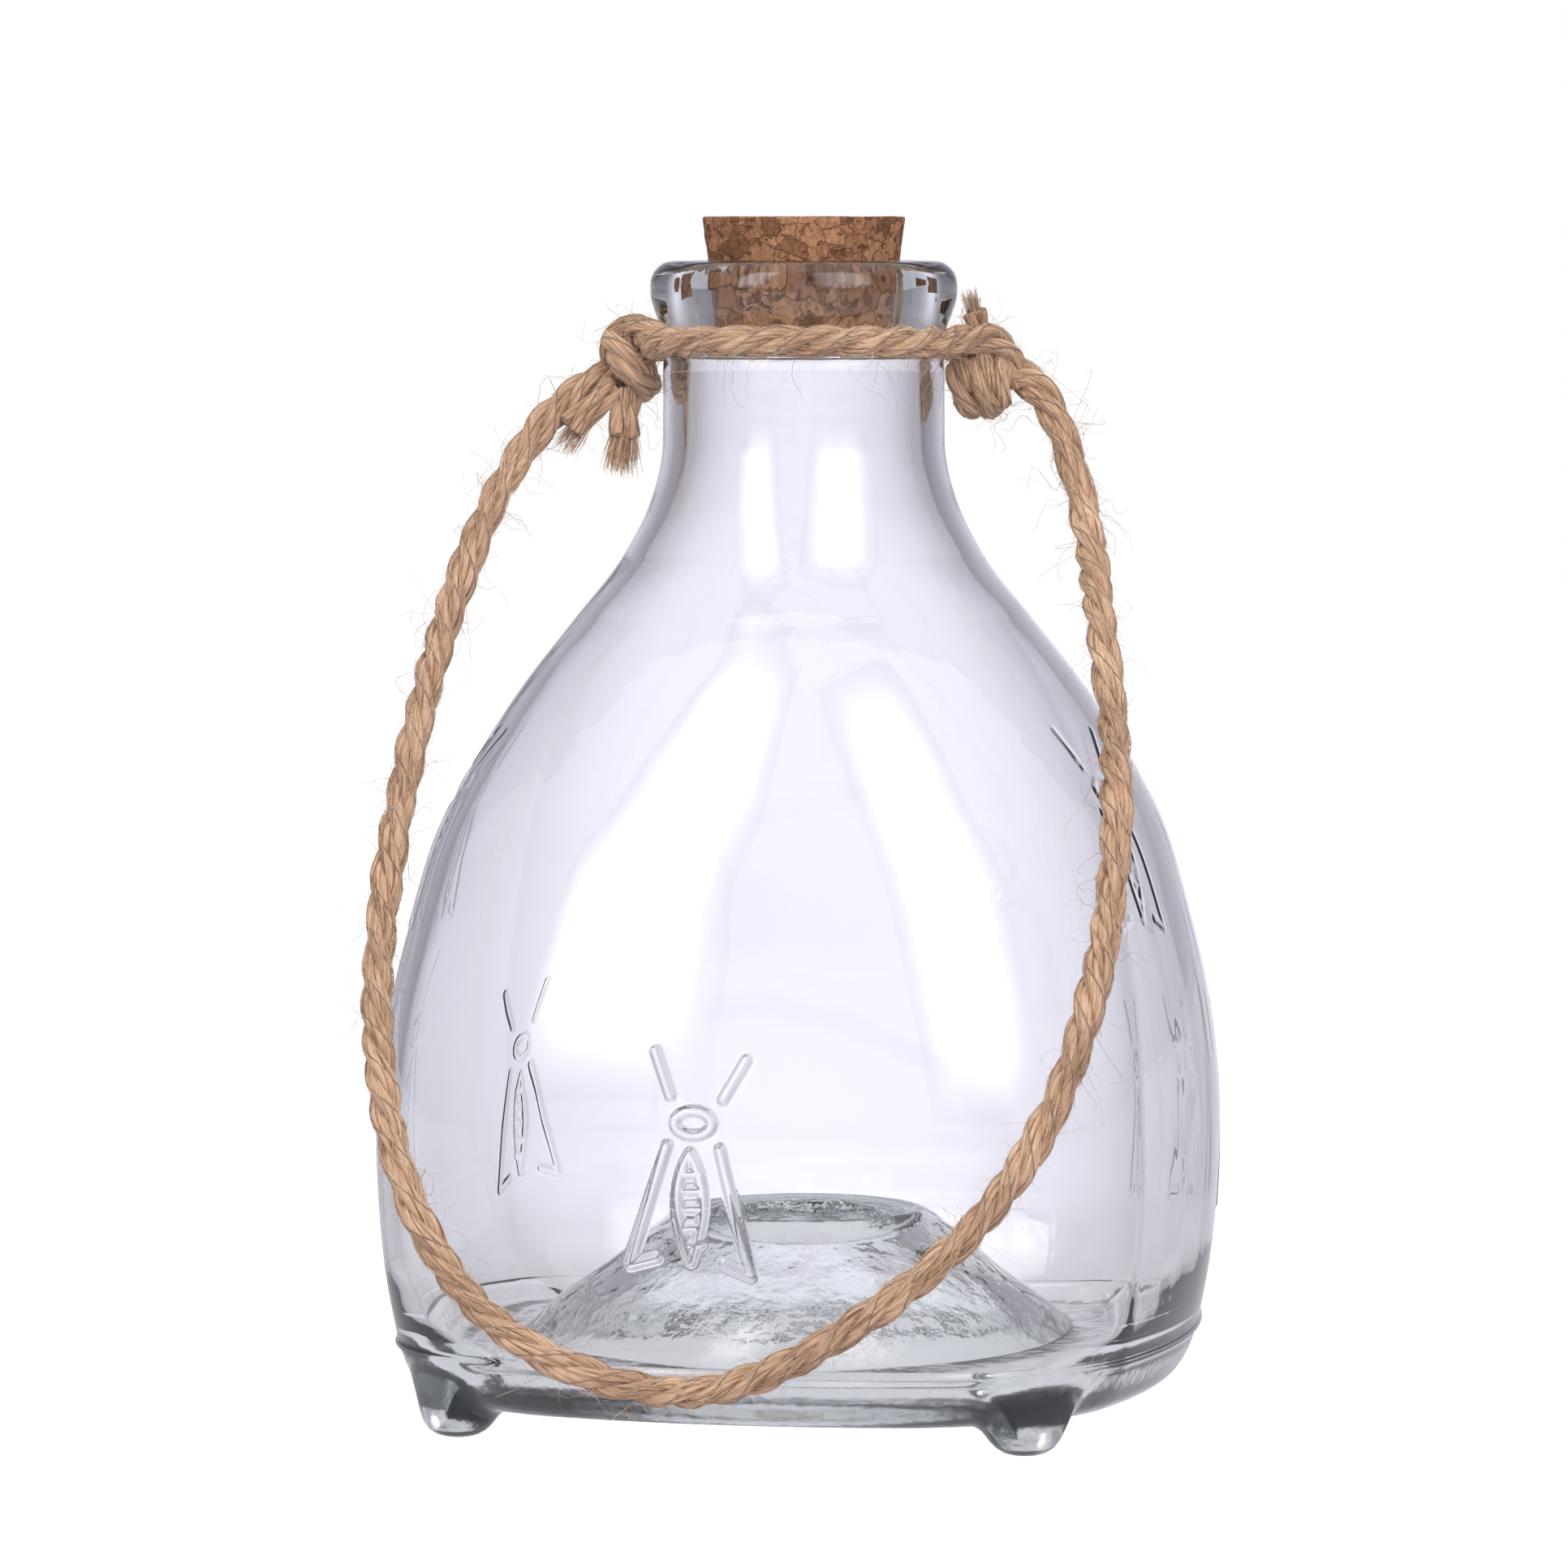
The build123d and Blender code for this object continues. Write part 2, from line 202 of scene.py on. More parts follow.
class Shader:
    """Short way to write node trees."""

    def __init__(self, tree: bpy.types.NodeTree) -> None:
        """Works on the given node tree."""
        self.tree = tree

    def node(self, kind: str, settings: dict | None = None, **inputs: object) -> bpy.types.Node:
        """Adds a node.

        Args:
            kind: Blender's node type.
            settings: Properties of the node itself.
            **inputs: Values or sockets for the inputs, by name with _ for each space.

        Returns:
            The new node.
        """
        made = self.tree.nodes.new(kind)
        for key, value in (settings or {}).items():
            setattr(made, key, value)
        for key, value in inputs.items():
            self.put(made, key.replace("_", " "), value)
        return made

    def put(self, node: bpy.types.Node, name: str | int, value: object) -> None:
        """Sets an input to a value or links a socket to it.

        Args:
            node: The node.
            name: Name or number of its input.
            value: A plain value or an output socket.
        """
        socket = node.inputs[name]
        if isinstance(value, bpy.types.NodeSocket):
            self.tree.links.new(value, socket)
        else:
            socket.default_value = value

    def fill(self, node: bpy.types.Node, values: dict) -> None:
        """Sets or links several inputs of a node, by name or number."""
        for name, value in values.items():
            self.put(node, name, value)

    def math(self, operation: str, *values: object) -> bpy.types.NodeSocket:
        """Adds a math node.

        Args:
            operation: Name of the operation.
            *values: Its values or sockets, in order.

        Returns:
            The result's socket.
        """
        made = self.node("ShaderNodeMath", {"operation": operation})
        self.fill(made, dict(enumerate(values)))
        return made.outputs[0]

    def vector(self, operation: str, *values: object) -> bpy.types.Node:
        """Adds a vector math node.

        Args:
            operation: Name of the operation.
            *values: Its vectors or sockets, in order.

        Returns:
            The new node.
        """
        made = self.node("ShaderNodeVectorMath", {"operation": operation})
        self.fill(made, dict(enumerate(values)))
        return made

    def noise(self, place: bpy.types.NodeSocket, scale: float, detail: float,
              **inputs: object) -> bpy.types.Node:
        """Adds a noise texture of a scale and a depth of detail, looked up at a place."""
        return self.node("ShaderNodeTexNoise", Vector=place, Scale=scale, Detail=detail, **inputs)

    def stretch(self, place: bpy.types.NodeSocket, scale: tuple) -> bpy.types.NodeSocket:
        """Scales a texture place along each axis."""
        return self.node("ShaderNodeMapping", Vector=place, Scale=scale).outputs[0]

    def span(self, value: bpy.types.NodeSocket, start: float, end: float, low: float = 0.0,
             high: float = 1.0, soft: bool = False) -> bpy.types.NodeSocket:
        """Maps a span of a value to another span, and holds the result at its ends.

        Args:
            value: The value.
            start: Value that gives the low result.
            end: Value that gives the high result.
            low: Result at the start.
            high: Result at the end.
            soft: Whether it eases in and out.

        Returns:
            The result's socket.
        """
        made = self.node("ShaderNodeMapRange",
                         {"interpolation_type": "SMOOTHSTEP" if soft else "LINEAR"},
                         Value=value, From_Min=start, From_Max=end, To_Min=low, To_Max=high)
        return made.outputs[0]

    def bump(self, height: bpy.types.NodeSocket, distance: float, strength: object = 1.0,
             normal: bpy.types.NodeSocket | None = None) -> bpy.types.NodeSocket:
        """Adds a bump node.

        Args:
            height: The height that it turns into slopes.
            distance: Height of a value of 1, in metres.
            strength: Share of the slopes that is kept, as a number or a socket.
            normal: Normal that it starts from, or None for the surface's own.

        Returns:
            The normal's socket.
        """
        made = self.node("ShaderNodeBump", Height=height, Strength=strength, Distance=distance)
        if normal is not None:
            self.put(made, "Normal", normal)
        return made.outputs[0]

    def either(self, fac: bpy.types.NodeSocket, first: bpy.types.NodeSocket,
               second: bpy.types.NodeSocket) -> bpy.types.NodeSocket:
        """Mixes two shaders.

        Args:
            fac: Share of the second shader.
            first: First shader's socket.
            second: Second shader's socket.

        Returns:
            The mixed shader's socket.
        """
        made = self.node("ShaderNodeMixShader", Fac=fac)
        self.fill(made, {1: first, 2: second})
        return made.outputs[0]

    def ramp(self, fac: bpy.types.NodeSocket, *stops: tuple) -> bpy.types.NodeSocket:
        """Adds a colour ramp.

        Args:
            fac: The value that it maps.
            *stops: Pairs of place and colour.

        Returns:
            The colour's socket.
        """
        made = self.node("ShaderNodeValToRGB", Fac=fac)
        elements = made.color_ramp.elements
        while len(elements) < len(stops):
            elements.new(0.5)
        for element, (place, colour) in zip(elements, stops):
            element.position = place
            element.color = (*colour, 1.0)
        return made.outputs["Color"]

    def mix(self, fac: object, first: object, second: object,
            blend: str = "MIX") -> bpy.types.NodeSocket:
        """Mixes two colours.

        Args:
            fac: Share of the second colour.
            first: First colour or socket.
            second: Second colour or socket.
            blend: Way of blending.

        Returns:
            The mixed colour's socket.
        """
        made = self.node("ShaderNodeMix", {"data_type": "RGBA", "blend_type": blend})
        self.put(made, 0, fac)
        for number, value in ((6, first), (7, second)):
            if not isinstance(value, bpy.types.NodeSocket):
                value = (*value, 1.0)
            self.put(made, number, value)
        return made.outputs[2]


def new_group(name: str, inputs: dict, outputs: dict) -> tuple[Shader, object, object]:
    """Makes an empty shader node group.

    Args:
        name: Name of the group.
        inputs: Socket type by input name.
        outputs: Socket type by output name.

    Returns:
        The group's shader helper, its input node and its output node.
    """
    tree = bpy.data.node_groups.new(name, "ShaderNodeTree")
    for side, sockets in (("INPUT", inputs), ("OUTPUT", outputs)):
        for socket, kind in sockets.items():
            tree.interface.new_socket(name=socket, in_out=side, socket_type=kind)
    shader = Shader(tree)
    return shader, tree.nodes.new("NodeGroupInput"), tree.nodes.new("NodeGroupOutput")


def new_material(name: str) -> tuple[bpy.types.Material, Shader, bpy.types.Node, bpy.types.Node]:
    """Makes a material with an output and a Principled shader.

    Args:
        name: Name of the material.

    Returns:
        The material, its shader helper, the Principled node and the output node.
    """
    material = bpy.data.materials.new(name)
    material.use_nodes = True
    material.node_tree.nodes.clear()
    shader = Shader(material.node_tree)
    output = shader.node("ShaderNodeOutputMaterial")
    principled = shader.node("ShaderNodeBsdfPrincipled")
    shader.put(output, "Surface", principled.outputs[0])
    return material, shader, principled, output


@dataclass(frozen=True)
class GlassFinish:
    """Clear bottle glass with a faint grey-green body colour and a slightly uneven skin.

    Scales are swells for each metre. Depths, and the places where a fade starts and where it is
    full, are in metres.
    """

    tint: tuple = (0.985, 0.993, 0.99)
    body: tuple = (0.725, 0.780, 0.775)
    shadow: tuple = (0.93, 0.94, 0.95)       # what the glass lets through into its shadow
    density: float = 26.0
    index: float = 1.5
    dullness: float = 0.15
    wave_scale: float = 70.0
    wave_depth: float = 0.00006
    wave_stretch: tuple = (1.0, 1.0, 0.22)   # the waves run up and down
    stipple_scale: float = 480.0
    stipple_depth: float = 0.00010
    ripple_scale: float = 150.0
    ripple_depth: float = 0.00026
    low_fade: tuple = (0.042, 0.030)         # height of the stippled base
    near_fade: tuple = (0.060, 0.050)        # how far out from the axis it is stippled
    under_fade: tuple = (0.0132, 0.0118)     # height of the dull underside

    def skin(self) -> bpy.types.NodeTree:
        """Group for moulded glass: upright waves, a fine stipple low down, a dull underside.

        Returns:
            The node group.
        """
        outputs = {"Normal": "NodeSocketVector", "Frost": "NodeSocketFloat"}
        shader, _, out = new_group("moulded_skin", {}, outputs)
        place = shader.node("ShaderNodeTexCoord").outputs["Object"]
        parts = shader.node("ShaderNodeSeparateXYZ", Vector=place).outputs
        flat = shader.node("ShaderNodeCombineXYZ", X=parts["X"], Y=parts["Y"]).outputs[0]
        away = shader.vector("LENGTH", flat).outputs["Value"]
        inside = shader.math("MULTIPLY", shader.span(parts["Z"], *self.low_fade),
                             shader.span(away, *self.near_fade))
        under = shader.span(parts["Z"], *self.under_fade)
        waves = shader.noise(shader.stretch(place, self.wave_stretch), self.wave_scale, 2.0)
        fine = shader.noise(place, self.stipple_scale, 2.0)
        broad = shader.noise(place, self.ripple_scale, 1.0)
        stipple = shader.math("MULTIPLY", fine.outputs["Fac"],
                              shader.math("MAXIMUM", inside, under))
        ripple = shader.math("MULTIPLY", broad.outputs["Fac"], inside)
        normal = shader.bump(waves.outputs["Fac"], self.wave_depth)
        normal = shader.bump(stipple, self.stipple_depth, normal=normal)
        normal = shader.bump(ripple, self.ripple_depth, normal=normal)
        shader.fill(out, {"Normal": normal, "Frost": under})
        return shader.tree

    def build(self) -> bpy.types.Material:
        """Makes the material.

        Returns:
            The glass material.
        """
        material, shader, glass, output = new_material("clear_glass")
        skin = shader.node("ShaderNodeGroup", {"node_tree": self.skin()})
        dull = shader.math("MULTIPLY", skin.outputs["Frost"], self.dullness)
        shader.fill(glass, {"Base Color": (*self.tint, 1.0), "Roughness": dull, "IOR": self.index,
                            "Transmission Weight": 1.0, "Metallic": 0.0,
                            "Normal": skin.outputs["Normal"]})
        clear = shader.node("ShaderNodeBsdfTransparent", Color=(*self.shadow, 1.0))
        shaded = shader.node("ShaderNodeLightPath").outputs["Is Shadow Ray"]
        body = shader.node("ShaderNodeVolumeAbsorption", Color=(*self.body, 1.0),
                           Density=self.density)
        shader.fill(output, {"Surface": shader.either(shaded, glass.outputs[0], clear.outputs[0]),
                             "Volume": body.outputs[0]})
        return material


@dataclass(frozen=True)
class CorkFinish:
    """Agglomerated cork: pressed granules of several browns with dark gaps and pits."""

    light: tuple = (0.47, 0.235, 0.125)
    middle: tuple = (0.37, 0.17, 0.085)
    dark: tuple = (0.24, 0.105, 0.055)
    gap: tuple = (0.155, 0.068, 0.034)
    palest: float = 1.18                # brightness of the palest granules against the light ones
    granule_scale: float = 270.0
    squeeze: tuple = (1.0, 1.0, 1.35)   # the granules lie flat
    ragged_scale: float = 400.0
    ragged_reach: float = 0.0036        # how far the granules' edges stray, in metres
    gap_width: float = 0.04
    gap_least: float = 0.45             # how much of the granule shows in the middle of a gap
    fleck_scale: float = 1500.0
    fleck_share: float = 0.7
    fleck_relief: float = 0.3
    pit_scale: float = 520.0
    pit_edge: tuple = (0.35, 0.42)
    relief: float = 0.0004
    relief_share: float = 0.9
    roughness: tuple = (0.75, 0.95)
    gloss: float = 0.25

    def grain(self) -> bpy.types.NodeTree:
        """Group that gives cork's colour, roughness and normal.

        Returns:
            The node group.
        """
        outputs = {"Color": "NodeSocketColor", "Roughness": "NodeSocketFloat",
                   "Normal": "NodeSocketVector"}
        shader, _, out = new_group("cork_grain", {}, outputs)
        place = shader.node("ShaderNodeTexCoord").outputs["Object"]
        stray = shader.noise(place, self.ragged_scale, 4.0).outputs["Color"]
        bent = shader.vector("MULTIPLY_ADD", stray, (self.ragged_reach,) * 3, place).outputs[0]
        squeezed = shader.stretch(bent, self.squeeze)
        cells = shader.node("ShaderNodeTexVoronoi", Vector=squeezed, Scale=self.granule_scale)
        edges = shader.node("ShaderNodeTexVoronoi", {"feature": "DISTANCE_TO_EDGE"},
                            Vector=squeezed, Scale=self.granule_scale)
        tone = shader.node("ShaderNodeSeparateColor", Color=cells.outputs["Color"]).outputs[0]
        base = shader.ramp(tone, (0.0, self.dark), (0.22, self.middle), (0.6, self.light),
                           (1.0, tuple(self.palest * part for part in self.light)))
        fleck = shader.noise(place, self.fleck_scale, 4.0).outputs["Fac"]
        spots = shader.ramp(fleck, (0.3, (0.35, 0.33, 0.3)), (0.7, (1.0, 1.0, 1.0)))
        flecked = shader.mix(self.fleck_share, base, spots, "MULTIPLY")
        pits = shader.noise(squeezed, self.pit_scale, 3.0).outputs["Fac"]
        whole = shader.math("MULTIPLY",
                            shader.span(edges.outputs["Distance"], 0.0, self.gap_width,
                                        low=self.gap_least),
                            shader.span(pits, *self.pit_edge))
        height = shader.math("MULTIPLY_ADD", fleck, self.fleck_relief, whole)
        shader.fill(out, {"Color": shader.mix(whole, self.gap, flecked),
                          "Roughness": shader.span(tone, 0.0, 1.0, *self.roughness),
                          "Normal": shader.bump(height, self.relief, self.relief_share)})
        return shader.tree

    def build(self) -> bpy.types.Material:
        """Makes the material.

        Returns:
            The cork material.
        """
        material, shader, cork, _ = new_material("pressed_cork")
        grain = shader.node("ShaderNodeGroup", {"node_tree": self.grain()}).outputs
        shader.fill(cork, {"Base Color": grain["Color"], "Roughness": grain["Roughness"],
                           "Normal": grain["Normal"], "Specular IOR Level": self.gloss})
        return material


@dataclass(frozen=True)
class JuteFinish:
    """Jute: dry golden-brown fibre, streaked along the yarn."""

    name: str = "jute_yarn"
    pale: tuple = (0.86, 0.60, 0.42)
    golden: tuple = (0.60, 0.365, 0.22)
    brown: tuple = (0.26, 0.13, 0.07)
    streaks: float = 1.0
    roughness: float = 0.72
    gloss: float = 0.3
    sheen: float = 0.25
    sheen_roughness: float = 0.4

    @staticmethod
    def fibre() -> bpy.types.NodeTree:
        """Group that gives jute's colour and normal from the yarn's own texture places.

        Returns:
            The node group, which takes three shades of jute and the height of its streaks.
        """
        inputs = {"Pale": "NodeSocketColor", "Golden": "NodeSocketColor",
                  "Brown": "NodeSocketColor", "Streaks": "NodeSocketFloat"}
        outputs = {"Color": "NodeSocketColor", "Normal": "NodeSocketVector"}
        shader, given, out = new_group("jute_fibre", inputs, outputs)
        place = shader.node("ShaderNodeUVMap", {"uv_map": "UVMap"}).outputs[0]
        streak = shader.noise(shader.stretch(place, (0.9, 15.0, 1.0)), 1.0, 5.0, Roughness=0.6)
        hair = shader.noise(shader.stretch(place, (2.6, 44.0, 1.0)), 1.0, 3.0)
        body = shader.node("ShaderNodeTexCoord").outputs["Object"]
        cloud = shader.noise(body, 90.0, 2.0)
        tone = shader.math("MULTIPLY_ADD", hair.outputs["Fac"], 0.45, streak.outputs["Fac"])
        tone = shader.math("SUBTRACT", tone, 0.225)
        shade = shader.mix(shader.span(tone, 0.36, 0.44), given.outputs["Brown"],
                           given.outputs["Golden"])
        shade = shader.mix(shader.span(tone, 0.44, 0.56), shade, given.outputs["Pale"])
        warm = shader.ramp(cloud.outputs["Fac"], (0.35, (0.86, 0.80, 0.74)),
                           (0.65, (1.1, 1.07, 1.02)))
        shader.fill(out, {"Color": shader.mix(1.0, shade, warm, "MULTIPLY"),
                          "Normal": shader.bump(tone, 0.0011, given.outputs["Streaks"])})
        return shader.tree

    def build(self, fibre: bpy.types.NodeTree) -> bpy.types.Material:
        """Makes the material.

        Args:
            fibre: Group that every jute finish places with its own values.

        Returns:
            The jute material.
        """
        material, shader, jute, _ = new_material(self.name)
        look = shader.node("ShaderNodeGroup", {"node_tree": fibre}, Pale=(*self.pale, 1.0),
                           Golden=(*self.golden, 1.0), Brown=(*self.brown, 1.0),
                           Streaks=self.streaks).outputs
        shader.fill(jute, {"Base Color": look["Color"], "Normal": look["Normal"],
                           "Roughness": self.roughness, "Specular IOR Level": self.gloss,
                           "Sheen Weight": self.sheen, "Sheen Roughness": self.sheen_roughness})
        return material


@dataclass(frozen=True)
class Softbox:
    """Soft-edged light panel that faces the trap. Lengths are in metres."""

    name: str
    azimuth: float            # degrees from the direction that the front face looks in
    low_width: float
    top_width: float
    radiance: float           # brightness of its middle, where 1 is white paper
    elevation: float = 37.0   # degrees above the horizon
    height: float = 1.84
    distance: float = 1.3
    aim_height: float = 0.1
    soft_side: float = 0.36   # share of the width that fades at each side
    soft_end: float = 0.24    # share of the height that fades at each end
    rows: int = 13
    columns: int = 7

    def panel(self) -> bpy.types.Object:
        """Makes the panel's mesh.

        Returns:
            The panel.
        """
        angle, rise = math.radians(self.azimuth), math.radians(self.elevation)
        way = np.array([math.sin(angle) * math.cos(rise), -math.cos(angle) * math.cos(rise),
                        math.sin(rise)])
        side = np.array([math.cos(angle), math.sin(angle), 0.0])
        up = np.cross(side, -way)
        up = up if up[2] > 0 else -up
        rows = np.linspace(0.0, 1.0, self.rows)
        columns = np.linspace(0.0, 1.0, self.columns)
        width = self.low_width + (self.top_width - self.low_width) * rows
        across = (columns[None] - 0.5) * width[:, None]
        along = np.broadcast_to(((rows - 0.5) * self.height)[:, None], across.shape)
        middle = np.array([0.0, 0.0, self.aim_height]) + way * self.distance
        grid = middle + across[..., None] * side + along[..., None] * up
        uv = np.stack(np.broadcast_arrays(columns[None], rows[:, None]), axis=-1)
        maker = MeshMaker()
        maker.add_grid(grid, close_columns=False, uv=uv)
        return maker.build(self.name)

    def glow(self) -> bpy.types.Material:
        """Makes the panel's light, which fades towards its edges.

        Returns:
            The material.
        """
        material, shader, _, output = new_material(self.name)
        place = shader.node("ShaderNodeSeparateXYZ",
                            Vector=shader.node("ShaderNodeUVMap", {"uv_map": "UVMap"}).outputs[0])
        level: object = self.radiance
        for axis, soft in (("X", self.soft_side), ("Y", self.soft_end)):
            centred = shader.math("ABSOLUTE", shader.math("SUBTRACT", place.outputs[axis], 0.5))
            level = shader.math("MULTIPLY", level,
                                shader.span(centred, 0.5, 0.5 - soft, soft=True))
        light = shader.node("ShaderNodeEmission", Color=(1.0, 1.0, 1.0, 1.0), Strength=level)
        shader.put(output, "Surface", light.outputs[0])
        return material

    def build(self) -> None:
        """Makes the light, which the camera doesn't see."""
        made = self.panel()
        made.data.materials.append(self.glow())
        made.visible_camera = False


@dataclass(frozen=True)
class Studio:
    """Camera, soft lights, surroundings and floor of the product photograph, in metres."""

    turn: float = CORD_TURN
    distance: float = 1.3916
    height: float = 0.1996
    aim_side: float = -0.0033
    aim_height: float = 0.105
    half_view: float = math.radians(5.373)
    # Backdrop by the angle from straight behind, as a share of half a turn
    lavender: tuple = (1.03, 0.98, 1.13)
    tones: tuple = ((0.0, 1.0), (0.02, 0.96), (0.05, 0.79), (0.10, 0.56), (0.17, 0.38),
                    (0.27, 0.28), (0.40, 0.24), (0.56, 0.25), (0.76, 0.38), (1.0, 0.50))
    zenith: tuple = (0.85, 0.85, 0.90)
    zenith_rise: tuple = (0.55, 0.95)
    floor_half: float = 2.5
    # Floor as the camera sees it: its own colour and its glow
    floor_grey: tuple = (0.48, 0.48, 0.48)
    floor_white: tuple = (0.80, 0.80, 0.80)
    # Floor as the glass sees it: a darker copy of its colour as painted shade, its glow, darkened
    # near the trap as a painted contact shadow, and the haze over both
    floor_shade: tuple = (0.20, 0.20, 0.21)
    floor_painted_shadow: tuple = (0.48, 0.47, 0.51)
    floor_painted_shadow_reach: tuple = (0.05, 0.24)
    haze: tuple = (0.68, 0.66, 0.71)
    haze_share: float = 0.22
    softboxes: tuple = (Softbox("left_softbox", -28.0, 0.84, 0.46, 5.0),
                        Softbox("right_softbox", 45.0, 1.60, 0.80, 3.8))

    def right(self) -> Vector:
        """Direction to the right in the picture."""
        return Vector((math.cos(self.turn), math.sin(self.turn), 0.0))

    def towards(self) -> Vector:
        """Level direction from the trap towards the camera."""
        return Vector((math.sin(self.turn), -math.cos(self.turn), 0.0))

    def camera(self) -> None:
        """Places the camera at the photograph's angle."""
        data = bpy.data.cameras.new("camera")
        data.sensor_width = 36.0
        data.lens = data.sensor_width / 2.0 / math.tan(self.half_view)
        data.clip_start = 0.05
        made = bpy.data.objects.new("camera", data)
        bpy.context.scene.collection.objects.link(made)
        side = self.right() * self.aim_side
        eye = side + self.towards() * self.distance + Vector((0, 0, self.height))
        aim = side + Vector((0, 0, self.aim_height))
        made.location = eye
        made.rotation_mode = "QUATERNION"
        made.rotation_quaternion = (aim - eye).to_track_quat("-Z", "Y")
        bpy.context.scene.camera = made

    def sweep(self) -> bpy.types.NodeTree:
        """Group that gives the backdrop's colour in a direction: brightest straight behind.

        Returns:
            The node group.
        """
        shader, given, out = new_group("backdrop_sweep", {"Direction": "NodeSocketVector"},
                                       {"Color": "NodeSocketColor"})
        way = shader.vector("NORMALIZE", given.outputs[0]).outputs[0]
        behind = tuple(-part for part in self.towards())
        ahead = shader.vector("DOT_PRODUCT", way, behind).outputs["Value"]
        # Held just under 1, where the arc cosine would fail
        angle = shader.math("ARCCOSINE", shader.math("MULTIPLY", ahead, 0.9999))
        along = shader.math("DIVIDE", angle, math.pi)
        colour = shader.ramp(along, *((place, tuple(tone * part for part in self.lavender))
                                      for place, tone in self.tones))
        shader.put(out, "Color", colour)
        return shader.tree

    def surroundings(self, sweep: bpy.types.NodeTree) -> None:
        """White for the camera; for the glass a lavender sweep with dark sides.

        Args:
            sweep: Group that gives the backdrop's colour.
        """
        world = bpy.data.worlds.new("studio")
        bpy.context.scene.world = world
        world.use_nodes = True
        world.node_tree.nodes.clear()
        shader = Shader(world.node_tree)
        way = shader.node("ShaderNodeTexCoord").outputs["Generated"]
        sides = shader.node("ShaderNodeGroup", {"node_tree": sweep}, Direction=way).outputs[0]
        lift = shader.node("ShaderNodeSeparateXYZ", Vector=way).outputs["Z"]
        dome = shader.mix(shader.span(lift, *self.zenith_rise), sides, self.zenith)
        room = shader.node("ShaderNodeBackground", Color=dome, Strength=1.0)
        white = shader.node("ShaderNodeBackground", Color=(1.0, 1.0, 1.0, 1.0), Strength=1.0)
        seen = shader.node("ShaderNodeLightPath").outputs["Is Camera Ray"]
        output = shader.node("ShaderNodeOutputWorld")
        shader.put(output, "Surface", shader.either(seen, room.outputs[0], white.outputs[0]))

    def floor(self, sweep: bpy.types.NodeTree) -> None:
        """Plain pale floor that keeps the soft shadows; for the glass it carries painted shade and
        a painted contact shadow near the trap.

        Args:
            sweep: Group that gives the backdrop's colour.
        """
        half = self.floor_half
        corners = np.array([[[-half, -half, 0.0], [half, -half, 0.0]],
                            [[-half, half, 0.0], [half, half, 0.0]]])
        maker = MeshMaker()
        maker.add_grid(corners, close_columns=False)
        made = maker.build("floor")
        material, shader, _, output = new_material("pale_floor")
        seen = shader.node("ShaderNodeLightPath").outputs["Is Camera Ray"]
        ground = shader.node("ShaderNodeTexCoord").outputs["Object"]
        away = shader.vector("LENGTH", ground).outputs["Value"]
        backdrop = shader.node("ShaderNodeGroup", {"node_tree": sweep}, Direction=ground)
        # Painted contact shadow: the glow is darker near the trap and runs out into the backdrop's
        # colour further off
        spread = shader.mix(shader.span(away, *self.floor_painted_shadow_reach, soft=True), self.floor_painted_shadow,
                            backdrop.outputs[0])
        dimmed = shader.mix(self.haze_share, spread, self.haze)
        # Painted shade: the glass sees a darker copy of the floor's colour than the camera does
        colour = shader.mix(seen, self.floor_shade, self.floor_grey)
        diffuse = shader.node("ShaderNodeBsdfDiffuse", Color=colour)
        glow = shader.node("ShaderNodeEmission", Strength=1.0,
                           Color=shader.mix(seen, dimmed, self.floor_white))
        both = shader.node("ShaderNodeAddShader")
        shader.fill(both, {0: diffuse.outputs[0], 1: glow.outputs[0]})
        shader.put(output, "Surface", both.outputs[0])
        made.data.materials.append(material)

    def build(self) -> None:
        """Makes the whole set."""
        bpy.context.scene.view_settings.view_transform = "Standard"
        sweep = self.sweep()
        self.camera()
        self.surroundings(sweep)
        self.floor(sweep)
        for softbox in self.softboxes:
            softbox.build()
        LOG.info("studio ready")


@dataclass(frozen=True)
class Ring:
    """One level of the bottle: height, half width and corner radius as a share of it."""

    z: float
    half: float
    share: float


class Moulding(Enum):
    """How sharply a bee stands out of the mould: its height in millimetres and its roundness."""

    CRISP = (0.6, 1.0)
    WORN = (0.28, 2.0)
    FAINT = (0.12, 2.0)


